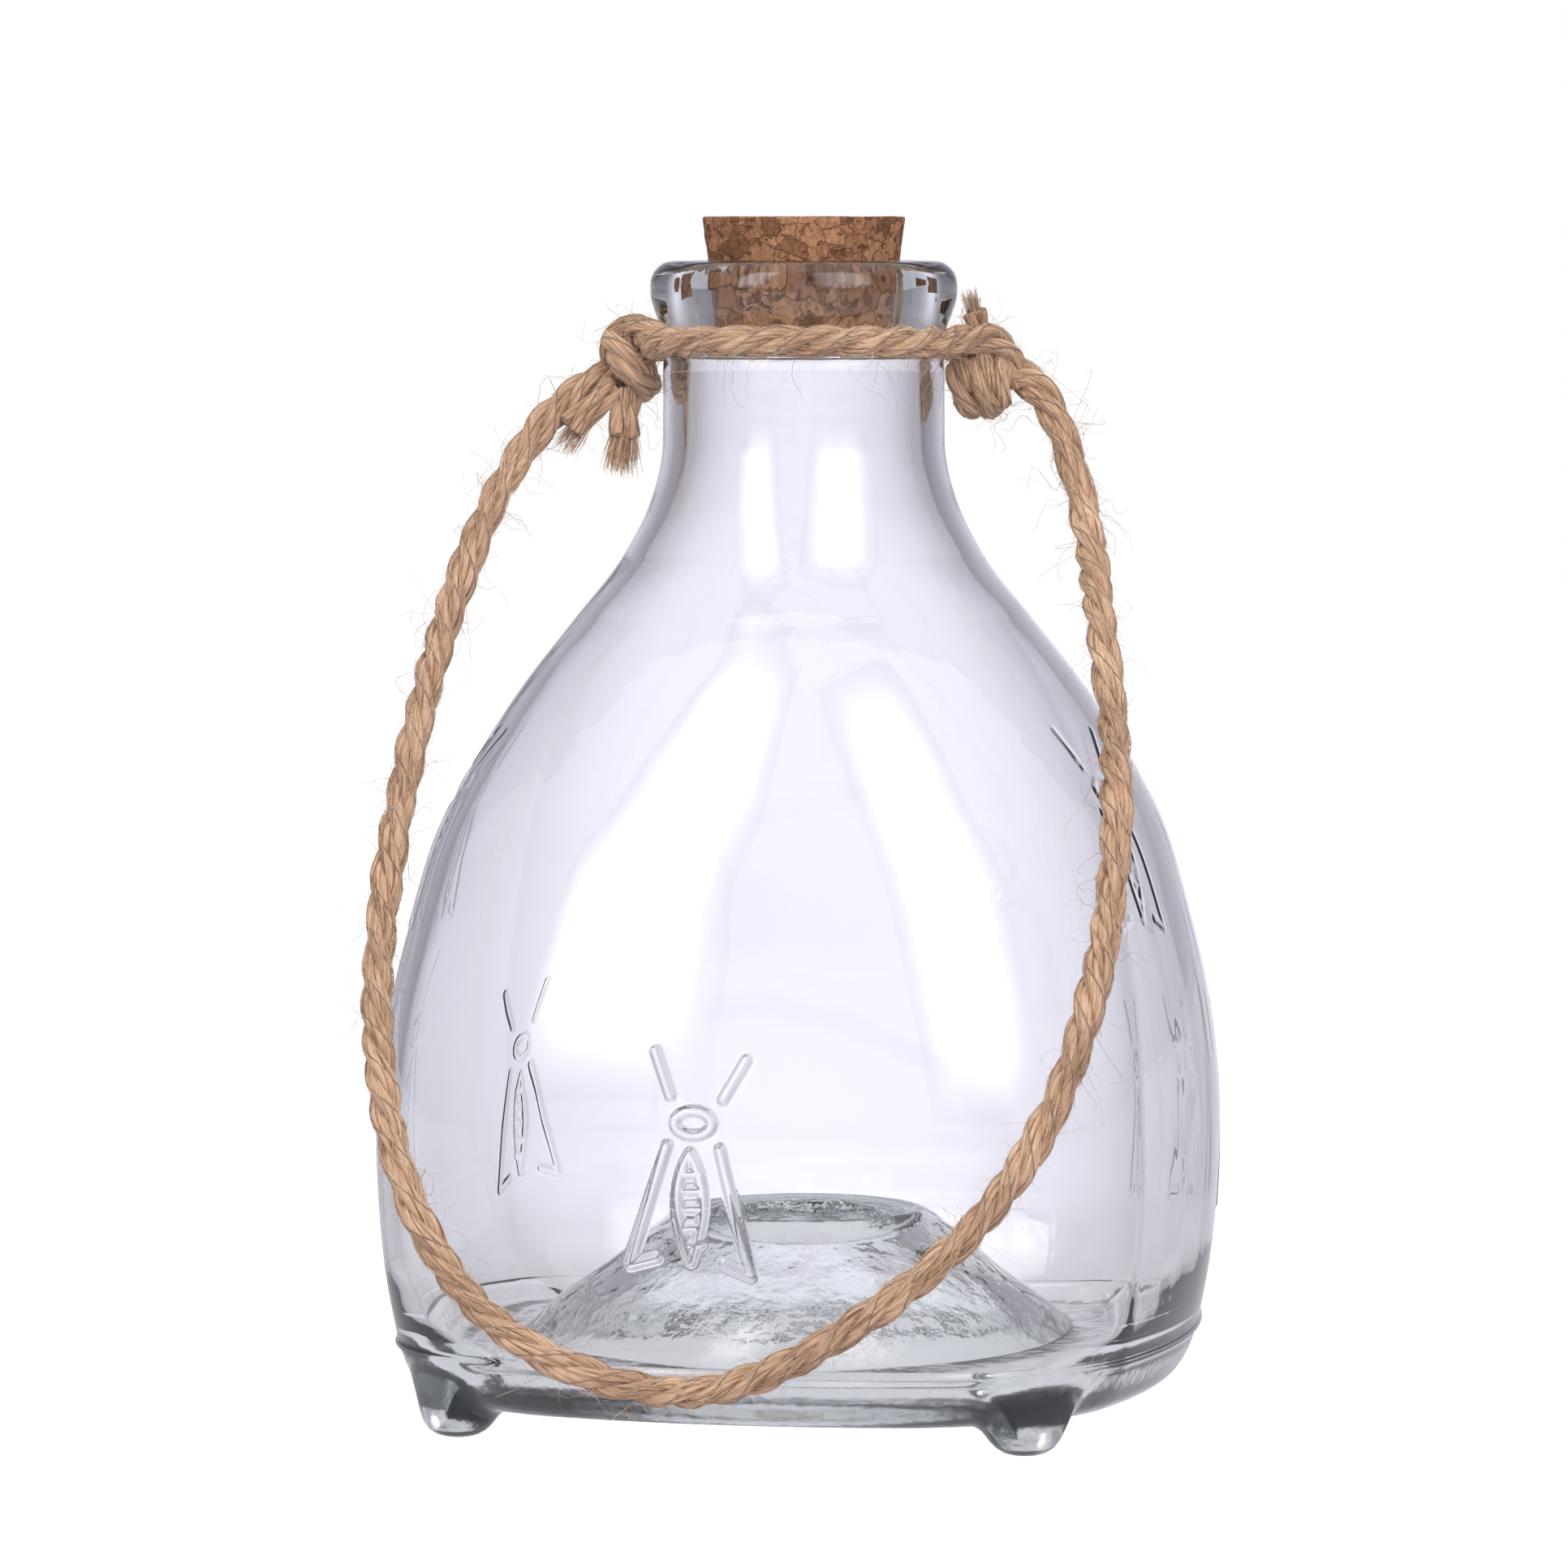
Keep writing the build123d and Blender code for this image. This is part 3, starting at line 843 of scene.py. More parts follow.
@dataclass(frozen=True)
class BeeRelief:
    """A raised line bee: two feelers, a round head, two folded wings and a barred body."""

    stroke: float = 1.05       # half width of a raised line, in millimetres
    moulding: Moulding = Moulding.CRISP

    def strokes(self) -> list[np.ndarray]:
        """Lines of the bee in millimetres from its middle, X to the right and Y up.

        Returns:
            One array of points for each line.
        """
        angles = np.linspace(0.0, 2.0 * math.pi, 17)
        head = np.stack([0.4 + 3.1 * np.cos(angles), 6.7 + 2.0 * np.sin(angles)], axis=1)
        rise = np.linspace(0.0, 1.0, 11)
        swell = 2.15 * np.sin(math.pi * rise ** 0.85)
        level = 1.9 - 17.6 * rise
        lines = [
            np.array([[-6.2, 18.1], [-3.5, 11.0]]),
            np.array([[8.8, 17.0], [5.2, 10.6]]),
            head,
            np.array([[-3.9, 3.1], [-10.3, -16.5], [-5.7, -15.2]]),
            np.array([[4.8, 2.6], [9.7, -17.8], [5.4, -15.9]]),
            np.stack([-swell - 0.1, level], axis=1),
            np.stack([swell - 0.1, level], axis=1),
        ]
        for height in (-1.4, -4.1, -6.9, -10.0, -12.8):
            lines.append(np.array([[-0.5, height], [1.5, height + 0.1]]))
        return lines

    def height(self, across: np.ndarray, up: np.ndarray) -> np.ndarray:
        """Relief above the plain glass.

        Args:
            across: Places to the right of the bee's middle, in millimetres.
            up: Places above its middle, in millimetres.

        Returns:
            The relief in millimetres.
        """
        nearest = np.full(across.shape, np.inf)
        for line in self.strokes():
            for start, end in zip(line[:-1], line[1:]):
                reach = end - start
                share = ((across - start[0]) * reach[0] + (up - start[1]) * reach[1])
                share = np.clip(share / (reach @ reach), 0.0, 1.0)
                away = np.hypot(across - start[0] - share * reach[0],
                                up - start[1] - share * reach[1])
                nearest = np.minimum(nearest, away)
        proud, roundness = self.moulding.value
        return proud * np.maximum(1.0 - (nearest / self.stroke) ** 2, 0.0) ** roundness


@dataclass(frozen=True)
class Stretch:
    """A stretch of the bottle's wall, in millimetres.

    Each of its levels is a height, a half width and a corner radius as a share of it.
    """

    spacing: float
    levels: tuple

    def curve(self) -> list[Ring]:
        """Smooth run of levels through the given ones, both ends included.

        Returns:
            The run.
        """
        known = np.array(self.levels, dtype=float)
        steps = np.hypot(np.diff(known[:, 0]), np.diff(known[:, 1]))
        place = np.concatenate([[0.0], np.cumsum(steps)])
        count = max(2, int(round(place[-1] / self.spacing)) + 1)
        slope = np.gradient(known, place, axis=0)
        wanted = np.linspace(0.0, place[-1], count)
        leg = np.clip(np.searchsorted(place, wanted, side="right") - 1, 0, len(place) - 2)
        width = (place[leg + 1] - place[leg])[:, None]
        share = ((wanted - place[leg]) / width[:, 0])[:, None]
        square, cube = share ** 2, share ** 3
        found = ((2 * cube - 3 * square + 1) * known[leg] + (cube - 2 * square + share) * width
                 * slope[leg] + (3 * square - 2 * cube) * known[leg + 1] + (cube - square)
                 * width * slope[leg + 1])
        return [Ring(z, half, min(1.0, part)) for z, half, part in found]


@dataclass(frozen=True)
class GlassBottle:
    """The moulded bottle, as one closed skin from the entry hole round the lip and back.

    Lengths are in millimetres. The sides of bees and feet are in degrees about the axis.
    """

    throat: Stretch = Stretch(1.0, ((32.0, 17.0, 1.0), (28.0, 17.0, 1.0)))
    under: Stretch = Stretch(1.0, (
        (28.0, 17.0, 1.0), (26.6, 19.4, 1.0), (23.4, 25.2, 1.0), (18.7, 31.3, 1.0),
        (12.8, 36.8, 1.0), (7.4, 40.6, 1.0), (5.0, 43.0, 1.0)))
    plate: Stretch = Stretch(0.8, ((5.0, 43.0, 1.0), (5.0, 50.0, 0.8), (5.0, 57.0, 0.62)))
    edge: Stretch = Stretch(0.6, (
        (5.0, 57.0, 0.62), (5.35, 59.3, 0.615), (6.6, 61.5, 0.605), (9.2, 63.3, 0.6),
        (13.4, 64.9, 0.59)))
    seam: tuple = ((13.5, 65.35, 0.59), (13.8, 65.5, 0.59), (14.2, 65.5, 0.59),
                   (14.5, 65.4, 0.59))
    seam_end: float = 14.7
    belly: Stretch = Stretch(0.30, (
        (14.0, 65.0, 0.59), (24.0, 66.8, 0.59), (38.0, 68.1, 0.59), (52.0, 68.3, 0.59),
        (68.0, 66.7, 0.62), (84.0, 63.3, 0.67), (98.0, 59.4, 0.73), (110.0, 53.6, 0.80),
        (122.0, 46.2, 0.87), (133.0, 37.9, 0.94), (143.0, 30.3, 1.0), (151.5, 25.9, 1.0),
        (160.0, 23.7, 1.0), (167.0, 23.5, 1.0)))
    neck: Stretch = Stretch(0.6, (
        (167.0, 23.5, 1.0), (174.0, 23.5, 1.0), (180.5, 23.55, 1.0), (183.2, 24.6, 1.0),
        (187.0, 25.6, 1.0), (190.4, 25.1, 1.0), (192.1, 23.3, 1.0), (192.5, 21.0, 1.0)))
    mouth: Stretch = Stretch(0.6, (
        (192.5, 21.0, 1.0), (192.4, 18.4, 1.0), (191.7, 16.7, 1.0), (190.4, 15.9, 1.0),
        (186.0, 15.25, 1.0), (181.0, 14.6, 1.0)))
    opening: Stretch = Stretch(0.5, (
        (181.0, 14.6, 1.0), (180.2, 15.3, 1.0), (179.0, 17.4, 1.0), (178.0, 18.9, 1.0),
        (176.8, 19.5, 1.0), (174.0, 19.5, 1.0)))
    # The hollow follows the outside, a wall further in, and ends in levels of its own
    upper_heights: tuple = (174.0, 170.0, 166.0, 163.0, 160.0, 157.0, 154.0)
    upper_wall: tuple = ((152.0, 168.0), (3.55, 4.0))
    wall: float = 3.5
    wall_top: int = 11                  # number of the belly's level where the even wall starts
    inside_spacing: float = 0.8
    inside_foot: tuple = ((15.2, 60.4, 0.57), (11.6, 57.9, 0.56), (10.2, 54.6, 0.58))
    trough: Stretch = Stretch(0.8, ((10.2, 54.6, 0.58), (9.9, 51.0, 0.78), (10.4, 47.0, 1.0)))
    mound: Stretch = Stretch(0.7, (
        (10.4, 47.0, 1.0), (12.6, 44.8, 1.0), (18.0, 40.8, 1.0), (23.2, 35.7, 1.0),
        (27.6, 30.0, 1.0), (31.0, 24.6, 1.0), (33.2, 21.4, 1.0), (34.0, 19.0, 1.0),
        (33.4, 17.5, 1.0), (32.0, 17.0, 1.0)))
    face_arc: float = math.radians(12.0)
    foot_place: float = 47.3
    foot_profile: tuple = ((0.0, 0.4), (2.2, 0.4), (3.6, 0.8), (4.8, 1.6), (5.8, 2.9), (6.6, 4.6),
                           (7.4, 6.4), (8.4, 8.4), (9.8, 10.8), (11.6, 13.2), (15.0, 17.0))
    foot_blend: float = 4.6
    foot_rise: tuple = (12.6, 13.8)     # heights over which a foot runs out into the base
    foot_spread: tuple = (11.0, 15.0)   # distances from its middle over which it runs out
    foot_rows: int = 24                 # levels of the plate that the feet reach
    # Bees: side that each faces, height of its middle, and moulding
    bees: tuple = ((-2.6, 48.4, Moulding.CRISP), (124.0, 49.0, Moulding.WORN),
                   (-124.0, 49.0, Moulding.WORN), (72.0, 100.0, Moulding.FAINT),
                   (-72.0, 100.0, Moulding.FAINT))
    bee_reach: tuple = (13.0, 21.0)     # half width and half height of a bee
    # Columns of the skin for each radian, and how far to each side of a bee or a foot they are
    # set closer
    plain_columns: float = 110.0
    bee_columns: tuple = (270.0, 10.0)
    foot_columns: tuple = (200.0, 9.0)
    column_fade: float = 3.0

    def angles(self) -> np.ndarray:
        """Directions of the columns, close together where a bee or a foot stands.

        Returns:
            The angles about the axis, 0 along -Y.
        """
        plain = self.plain_columns
        turn = np.linspace(0.0, 2.0 * math.pi, 7201)
        density = np.full(turn.shape, plain)
        crowded = [(azimuth, *self.bee_columns) for azimuth, _, _ in self.bees]
        crowded += [(45.0 + 90.0 * corner, *self.foot_columns) for corner in range(4)]
        for azimuth, fine, half in crowded:
            away = np.abs((np.degrees(turn) - azimuth + 180.0) % 360.0 - 180.0)
            near = 1.0 - smooth_step(half, half + self.column_fade, away)
            density = np.maximum(density, plain + (fine - plain) * near)
        summed = np.concatenate([[0.0], np.cumsum((density[1:] + density[:-1]) / 2)])
        summed *= (turn[1] - turn[0])
        count = int(summed[-1] // 4) * 4
        wanted = np.arange(count) * summed[-1] / count
        return np.interp(wanted, summed, turn)

    def hollow(self, outside: list[Ring]) -> tuple:
        """Levels of the hollow, from under the mouth down to the trough.

        Args:
            outside: Levels of the outside, from the belly up.

        Returns:
            The levels.
        """
        levels = []
        for height in self.upper_heights:
            outer = [ring for ring in outside if ring.z <= height][-1]
            levels.append((height, outer.half - float(np.interp(height, *self.upper_wall)), 1.0))
        for height, half, share in self.belly.levels[self.wall_top:0:-1]:
            inner = half - self.wall
            # The corners stay concentric with those of the outside
            levels.append((height, inner, min(1.0, (half * share - self.wall) / inner)))
        return (*levels, *self.inside_foot)

    def profile(self) -> tuple[list[Ring], int, int]:
        """All levels in order round the wall of the glass.

        Returns:
            The levels, and the first and last index of the outside between base and lip.
        """
        throat, under = self.throat.curve(), self.under.curve()
        plate, edge = self.plate.curve(), self.edge.curve()
        seam = [Ring(*level) for level in self.seam]
        outside = [ring for ring in self.belly.curve() if ring.z > self.seam_end]
        neck = self.neck.curve()
        inside = Stretch(self.inside_spacing, self.hollow(outside + neck)).curve()
        rings: list[Ring] = []
        for run in (throat, under, plate, edge, seam, outside, neck, self.mouth.curve(),
                    self.opening.curve(), inside, self.trough.curve(), self.mound.curve()):
            rings += run if run is seam else run[:-1]
        first = len(throat) + len(under) + len(plate) - 3
        last = first + len(edge) - 1 + len(seam) + len(outside) - 1
        return rings, first, last

    def section(self, ring: Ring, angles: np.ndarray) -> np.ndarray:
        """Distance of a level's outline from the axis.

        Args:
            ring: The level.
            angles: Directions about the axis, 0 along -Y.

        Returns:
            The distances in millimetres.
        """
        corner = ring.half * ring.share
        if ring.share > 0.999:
            return np.full(angles.shape, ring.half)
        sine, cosine = math.sin(self.face_arc), math.cos(self.face_arc)
        side = (ring.half + corner * (sine - cosine)) / (1 + sine - cosine)
        centre = (side - corner) * sine
        quarter = math.pi / 2
        folded = np.abs((angles + quarter / 2) % quarter - quarter / 2)
        offset = ring.half - side
        along = offset * np.cos(folded)
        face = along + np.sqrt(np.maximum(along ** 2 - offset ** 2 + side ** 2, 0.0))
        along = centre * (np.sin(folded) + np.cos(folded))
        bend = along + np.sqrt(np.maximum(along ** 2 - 2 * centre ** 2 + corner ** 2, 0.0))
        return np.where(face * np.sin(folded) <= side * sine, face, bend)

    def draw_feet(self, grid: np.ndarray, first: int, last: int) -> None:
        """Draws the four blob feet down out of the base's corners.

        Args:
            grid: Points of the skin, level by level, which it changes.
            first: First level of the outside.
            last: Last level of the outside.
        """
        low = grid[first - self.foot_rows:last]
        reach = np.hypot(np.abs(low[..., 0]) - self.foot_place,
                         np.abs(low[..., 1]) - self.foot_place)
        steps, heights = np.array(self.foot_profile).T
        blob = np.interp(reach, steps, heights)
        height = low[..., 2]
        soft = self.foot_blend
        overlap = np.maximum(soft - np.abs(height - blob), 0.0) / soft
        drawn = np.minimum(height, blob) - overlap ** 2 * soft / 4.0
        fade = 1.0 - smooth_step(*self.foot_rise, height)
        fade = fade * (1.0 - smooth_step(*self.foot_spread, reach))
        height[...] = np.maximum(height + (drawn - height) * fade, 0.0)

    def raise_bees(self, grid: np.ndarray, first: int, last: int) -> None:
        """Raises the line bees out of the outside of the belly.

        Args:
            grid: Points of the skin, level by level, which it changes.
            first: First level of the outside.
            last: Last level of the outside.
        """
        part = grid[first:last]
        front = part[:, 0, 1:]
        steps = np.linalg.norm(np.diff(front, axis=0), axis=1)
        lengths = np.concatenate([[0.0], np.cumsum(steps)])
        across_rows = unit(np.roll(part, -1, axis=1) - np.roll(part, 1, axis=1))
        up_rows = np.gradient(part, axis=0)
        normal = unit(np.cross(across_rows, up_rows))
        half_width, half_height = self.bee_reach
        for azimuth, height, moulding in self.bees:
            angle = math.radians(azimuth)
            middle = np.interp(height, part[:, 0, 2], lengths)
            side = np.array([math.cos(angle), math.sin(angle), 0.0])
            out = np.array([math.sin(angle), -math.cos(angle), 0.0])
            across = part @ side
            up = np.broadcast_to((lengths - middle)[:, None], across.shape)
            near = ((np.abs(across) < half_width) & (np.abs(up) < half_height)
                    & (part @ out > 0))
            relief = np.zeros(across.shape)
            relief[near] = BeeRelief(moulding=moulding).height(across[near], up[near])
            part += normal * relief[..., None]

    def build(self, material: bpy.types.Material) -> bpy.types.Object:
        """Makes the bottle.

        Args:
            material: The glass.

        Returns:
            The bottle's object.
        """
        rings, first, last = self.profile()
        angles = self.angles()
        grid = np.empty((len(rings), len(angles), 3))
        for row, ring in enumerate(rings):
            away = self.section(ring, angles)
            grid[row, :, 0] = away * np.sin(angles)
            grid[row, :, 1] = -away * np.cos(angles)
            grid[row, :, 2] = ring.z
        self.draw_feet(grid, first, last)
        self.raise_bees(grid, first, last)
        maker = MeshMaker()
        maker.add_grid(grid * MM, close_rows=True)
        made = maker.build("bottle_glass")
        made.data.materials.append(material)
        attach(made, Body.BOTTLE.value)
        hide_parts("glass_bottle")
        LOG.info("bottle: %d levels", len(rings))
        return made


@dataclass(frozen=True)
class CorkStopper:
    """The pressed cork, its skin broken by granules and a slightly uneven top, in millimetres."""

    top: float = 199.8
    bottom: float = 180.5
    top_radius: float = 17.0
    taper: float = 0.13
    columns: int = 300
    granules: int = 620
    granule_box: tuple = ((-17.5, -17.5, 180.0), (17.5, 17.5, 200.5))
    gap_width: tuple = (0.05, 0.45)
    gap_depth: float = 0.16
    granule_depth: float = 0.12   # how far behind the skin the deepest granules stand
    top_depth: float = 1.3        # how much deeper the top is worn than the side
    block: int = 4000             # points that are worked out at a time

    def profile(self) -> list[tuple[float, float]]:
        """Rows from the middle of the top, down the side, to the middle of the bottom.

        Returns:
            Radius and height of each row.
        """
        top, bottom, radius = self.top, self.bottom, self.top_radius
        end = radius - self.taper * (top - bottom)
        rows = [(radius * share, top) for share in np.linspace(0.02, 0.97, 30)]
        rows += [(radius - 0.25, top - 0.08), (radius - 0.05, top - 0.3)]
        rows += [(radius - self.taper * (top - height), height)
                 for height in np.linspace(top - 0.6, bottom + 0.5, 60)]
        rows.append((end - 0.3, bottom + 0.1))
        return rows + [(end * share, bottom) for share in np.linspace(0.95, 0.02, 16)]

    def pressed(self, points: np.ndarray) -> np.ndarray:
        """How far the skin lies in, from the gaps between granules and the granules themselves.

        Args:
            points: Points of the plain skin.

        Returns:
            The depth at each point.
        """
        random = np.random.default_rng(SEED)
        seeds = random.uniform(*self.granule_box, (self.granules, 3))
        depth = np.zeros(len(points))
        for start in range(0, len(points), self.block):
            part = points[start:start + self.block]
            away = np.linalg.norm(part[:, None] - seeds[None], axis=2)
            two = np.partition(away, 1, axis=1)[:, :2]
            gap = 1.0 - smooth_step(*self.gap_width, two[:, 1] - two[:, 0])
            own = seeds[away.argmin(axis=1), 0] * 7.7 % 1.0
            depth[start:start + self.block] = gap * self.gap_depth + own * self.granule_depth
        return depth

    def build(self, material: bpy.types.Material) -> bpy.types.Object:
        """Makes the cork.

        Args:
            material: The cork's finish.

        Returns:
            The cork's object.
        """
        rows = self.profile()
        angles = np.linspace(0.0, 2.0 * math.pi, self.columns, endpoint=False)
        grid = np.empty((len(rows), self.columns, 3))
        for row, (radius, height) in enumerate(rows):
            grid[row, :, 0] = radius * np.sin(angles)
            grid[row, :, 1] = -radius * np.cos(angles)
            grid[row, :, 2] = height
        depth = self.pressed(grid.reshape(-1, 3)).reshape(grid.shape[:2])
        inward = unit(grid * np.array([1.0, 1.0, 0.0]))
        lid = np.array([height > self.top - 0.2 for _, height in rows])[:, None]
        side = np.array([self.bottom < height < self.top - 0.05 for _, height in rows])[:, None]
        grid -= inward * (depth * side)[..., None]
        grid[..., 2] -= depth * lid * self.top_depth
        maker = MeshMaker()
        maker.add_grid(grid * MM, caps=True)
        made = maker.build("cork_granules")
        made.data.materials.append(material)
        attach(made, Body.STOPPER.value)
        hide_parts("cork_stopper")
        LOG.info("cork ready")
        return made


def spline_points(control: np.ndarray) -> np.ndarray:
    """Points along the smooth curve that a list of control points gives.

    Args:
        control: Control points in metres.

    Returns:
        The points, as rows of X, Y, Z.
    """
    curve = bpy.data.curves.new("route", "CURVE")
    curve.dimensions = "3D"
    curve.resolution_u = 16
    spline = curve.splines.new("NURBS")
    spline.points.add(len(control) - 1)
    for point, place in zip(spline.points, control):
        point.co = (*place, 1.0)
    spline.order_u = 3
    spline.use_endpoint_u = True
    made = bpy.data.objects.new("route", curve)
    bpy.context.scene.collection.objects.link(made)
    bpy.context.view_layer.update()
    mesh = bpy.data.meshes.new_from_object(made)
    points = np.empty(len(mesh.vertices) * 3)
    mesh.vertices.foreach_get("co", points)
    bpy.data.meshes.remove(mesh)
    bpy.data.objects.remove(made)
    bpy.data.curves.remove(curve)
    return points.reshape(-1, 3)


class Track:
    """A rope's centre line, evenly stepped, with a steady frame along it."""

    def __init__(self, points: np.ndarray, step: float = 0.0006, closed: bool = False) -> None:
        """Steps the line evenly and carries a frame along it.

        Args:
            points: Points of the line in metres.
            step: Distance between the new points.
            closed: Whether the line is a ring in one plane, its first point not repeated.
        """
        line = np.vstack([points, points[:1]]) if closed else points
        place = np.concatenate([[0.0], np.cumsum(np.linalg.norm(np.diff(line, axis=0), axis=1))])
        self.length = float(place[-1])
        count = max(4, int(round(self.length / step)) + 1)
        self.along = np.linspace(0.0, self.length, count)
        self.points = np.stack([np.interp(self.along, place, line[:, i]) for i in range(3)], axis=1)
        if closed:
            self.points, self.along = self.points[:-1], self.along[:-1]
            ahead = np.roll(self.points, -1, axis=0) - np.roll(self.points, 1, axis=0)
            self.way = unit(ahead)
            centre = self.points.mean(axis=0)
            outward = unit(self.points - centre)
            self.side = unit(outward - self.way * np.sum(outward * self.way, 1, keepdims=True))
        else:
            self.way = unit(np.gradient(self.points, axis=0))
            self.side = self.carry()
        self.up = np.cross(self.way, self.side)

    def carry(self) -> np.ndarray:
        """Carries a side direction along the line without twist.

        Returns:
            The side direction at each step.
        """
        first = self.way[0]
        guess = np.cross(first, (0.0, 0.0, 1.0))
        if np.linalg.norm(guess) < 0.1:
            guess = np.cross(first, (1.0, 0.0, 0.0))
        side = [guess / np.linalg.norm(guess)]
        for way in self.way[1:]:
            turned = side[-1] - way * (side[-1] @ way)
            side.append(turned / np.linalg.norm(turned))
        return np.array(side)

    def step_at(self, along: np.ndarray) -> np.ndarray:
        """Number of the step that is nearest to each distance along the line."""
        last = len(self.along) - 1
        return np.clip(np.round(along / self.length * last).astype(int), 0, last)

    def around(self, index: np.ndarray, angle: np.ndarray, away: np.ndarray) -> np.ndarray:
        """Points beside the line.

        Args:
            index: Which step of the line each point stands beside.
            angle: Its angle about the line.
            away: Its distance from the line.

        Returns:
            The points.
        """
        ring = (self.side[index] * np.cos(angle)[..., None]
                + self.up[index] * np.sin(angle)[..., None])
        return self.points[index] + ring * np.asarray(away)[..., None]


def wander(random: np.random.Generator, along: np.ndarray, pitch: float,
           waves: int = 5) -> np.ndarray:
    """Slow uneven variation along a rope, about -1 to 1.

    Args:
        random: Source of the variation.
        along: Places along the rope.
        pitch: Typical length of one swell.
        waves: How many swells are added up.

    Returns:
        The variation at each place.
    """
    total = np.zeros(along.shape)
    for _ in range(waves):
        total += np.sin(2 * math.pi * along / (pitch * random.uniform(0.6, 1.9))
                        + random.uniform(0, 2 * math.pi))
    return total / math.sqrt(waves * 1.2)


@dataclass(frozen=True)
class Rope:
    """Three-strand jute rope. Lengths are in metres, angles in radians."""

    diameter: float = 0.0050
    lay: float = 0.0215
    twist: Twist = Twist.S
    strands: int = 3
    strand_place: float = 0.52     # of a strand's middle, as a share of the rope's radius
    strand_size: float = 0.50      # a strand's radius, as a share of the rope's
    squash: tuple = (1.02, 1.08)   # height and width of a strand against its size
    sides: int = 30
    fibre_turn: float = 400.0      # turn of the fibres within a strand, for each metre
    uneven: float = 0.08
    uneven_pitch: float = 0.028
    swell: float = 0.06            # unevenness of each strand by itself
    swell_pitch: float = 0.018
    drift: float = 0.55            # how far the lay runs ahead or behind
    drift_pitch: float = 0.05
    # Bundles of fibres round a strand: how many, and how far they stand out
    ridges: tuple = ((2, 0.05), (3, 0.05), (5, 0.045), (7, 0.04), (10, 0.03))
    ridge_drift: float = 0.9
    ridge_pitch: float = 0.012
    fray: float = 0.0              # how far the strands part towards the free end
    fray_span: tuple = (0.35, 1.0)  # where along the rope they part
    texture_length: float = 0.01   # rope that one width of the texture covers

    def turning(self, track: Track, seed: int, closed: bool = False) -> np.ndarray:
        """Angle of the first strand about the rope, at each step of its track.

        Args:
            track: Centre line.
            seed: Seed of its unevenness.
            closed: Whether the rope is a ring.

        Returns:
            The angles.
        """
        turns = track.length / self.lay
        if closed:
            turns = round(turns * self.strands) / self.strands
        angle = self.twist.value * 2 * math.pi * turns * track.along / track.length
        if not closed:
            random = np.random.default_rng(SEED + 500 + seed)
            angle = angle + self.drift * wander(random, track.along, self.drift_pitch)
        return angle

    def outline(self, angle: np.ndarray) -> np.ndarray:
        """Distance from the rope's middle to its surface, as a share of its radius.

        Args:
            angle: Angle from the first strand.

        Returns:
            The share, largest on a strand and least in the groove between two.
        """
        sector = 2 * math.pi / self.strands
        off = (angle + sector / 2) % sector - sector / 2
        return (self.strand_place * np.cos(off)
                + np.sqrt(self.strand_size ** 2 - (self.strand_place * np.sin(off)) ** 2))

    def lay_on(self, maker: MeshMaker, track: Track, seed: int, closed: bool = False) -> None:
        """Adds the rope's strands along a track.

        Args:
            maker: Mesh that takes the strands.
            track: Centre line.
            seed: Seed of its unevenness.
            closed: Whether the rope is a ring.
        """
        random = np.random.default_rng(SEED + seed)
        loose = 0.0 if closed else 1.0   # a ring stays even, so that its ends meet
        along = track.along
        index = np.arange(len(along))
        angle = self.turning(track, seed, closed)
        radius = self.diameter / 2
        size = 1.0 + loose * self.uneven * wander(random, along, self.uneven_pitch)
        part = 1.0 + self.fray * smooth_step(*self.fray_span, along / track.length)
        corner = np.linspace(0, 2 * math.pi, self.sides, endpoint=False)
        spin = self.twist.value * along * self.fibre_turn
        for strand in range(self.strands):
            phase = angle + 2 * math.pi * strand / self.strands
            swell = size * (1.0 + loose * self.swell * wander(random, along, self.swell_pitch))
            centre = track.around(index, phase, radius * self.strand_place * size * part)
            way = unit(np.gradient(centre, axis=0))
            if closed:
                way = unit(np.roll(centre, -1, axis=0) - np.roll(centre, 1, axis=0))
            out = unit(centre - track.points)
            out = unit(out - way * np.sum(out * way, axis=1, keepdims=True))
            side = np.cross(way, out)
            ridge = np.zeros((len(along), self.sides))
            for wave, depth in self.ridges:
                shift = random.uniform(0, 2 * math.pi)
                turned = corner[None] + loose * spin[:, None]
                slip = 0.0
                if not closed:
                    slip = self.ridge_drift * wander(random, along, self.ridge_pitch)[:, None]
                ridge += depth * np.sin(wave * turned + shift + slip)
            rim = radius * self.strand_size * swell[:, None] * (1.0 + ridge)
            high, wide = self.squash
            grid = (centre[:, None] + out[:, None] * (np.cos(corner) * rim * high)[..., None]
                    + side[:, None] * (np.sin(corner) * rim * wide)[..., None])
            # Each strand shows another part of the texture
            uv = np.empty((len(along), self.sides, 2))
            uv[..., 0] = along[:, None] / self.texture_length + strand * 7.3
            uv[..., 1] = (corner[None] + spin[:, None]) / (2 * math.pi) + strand * 3.1
            maker.add_grid(grid, close_rows=closed, uv=uv, caps=not closed)


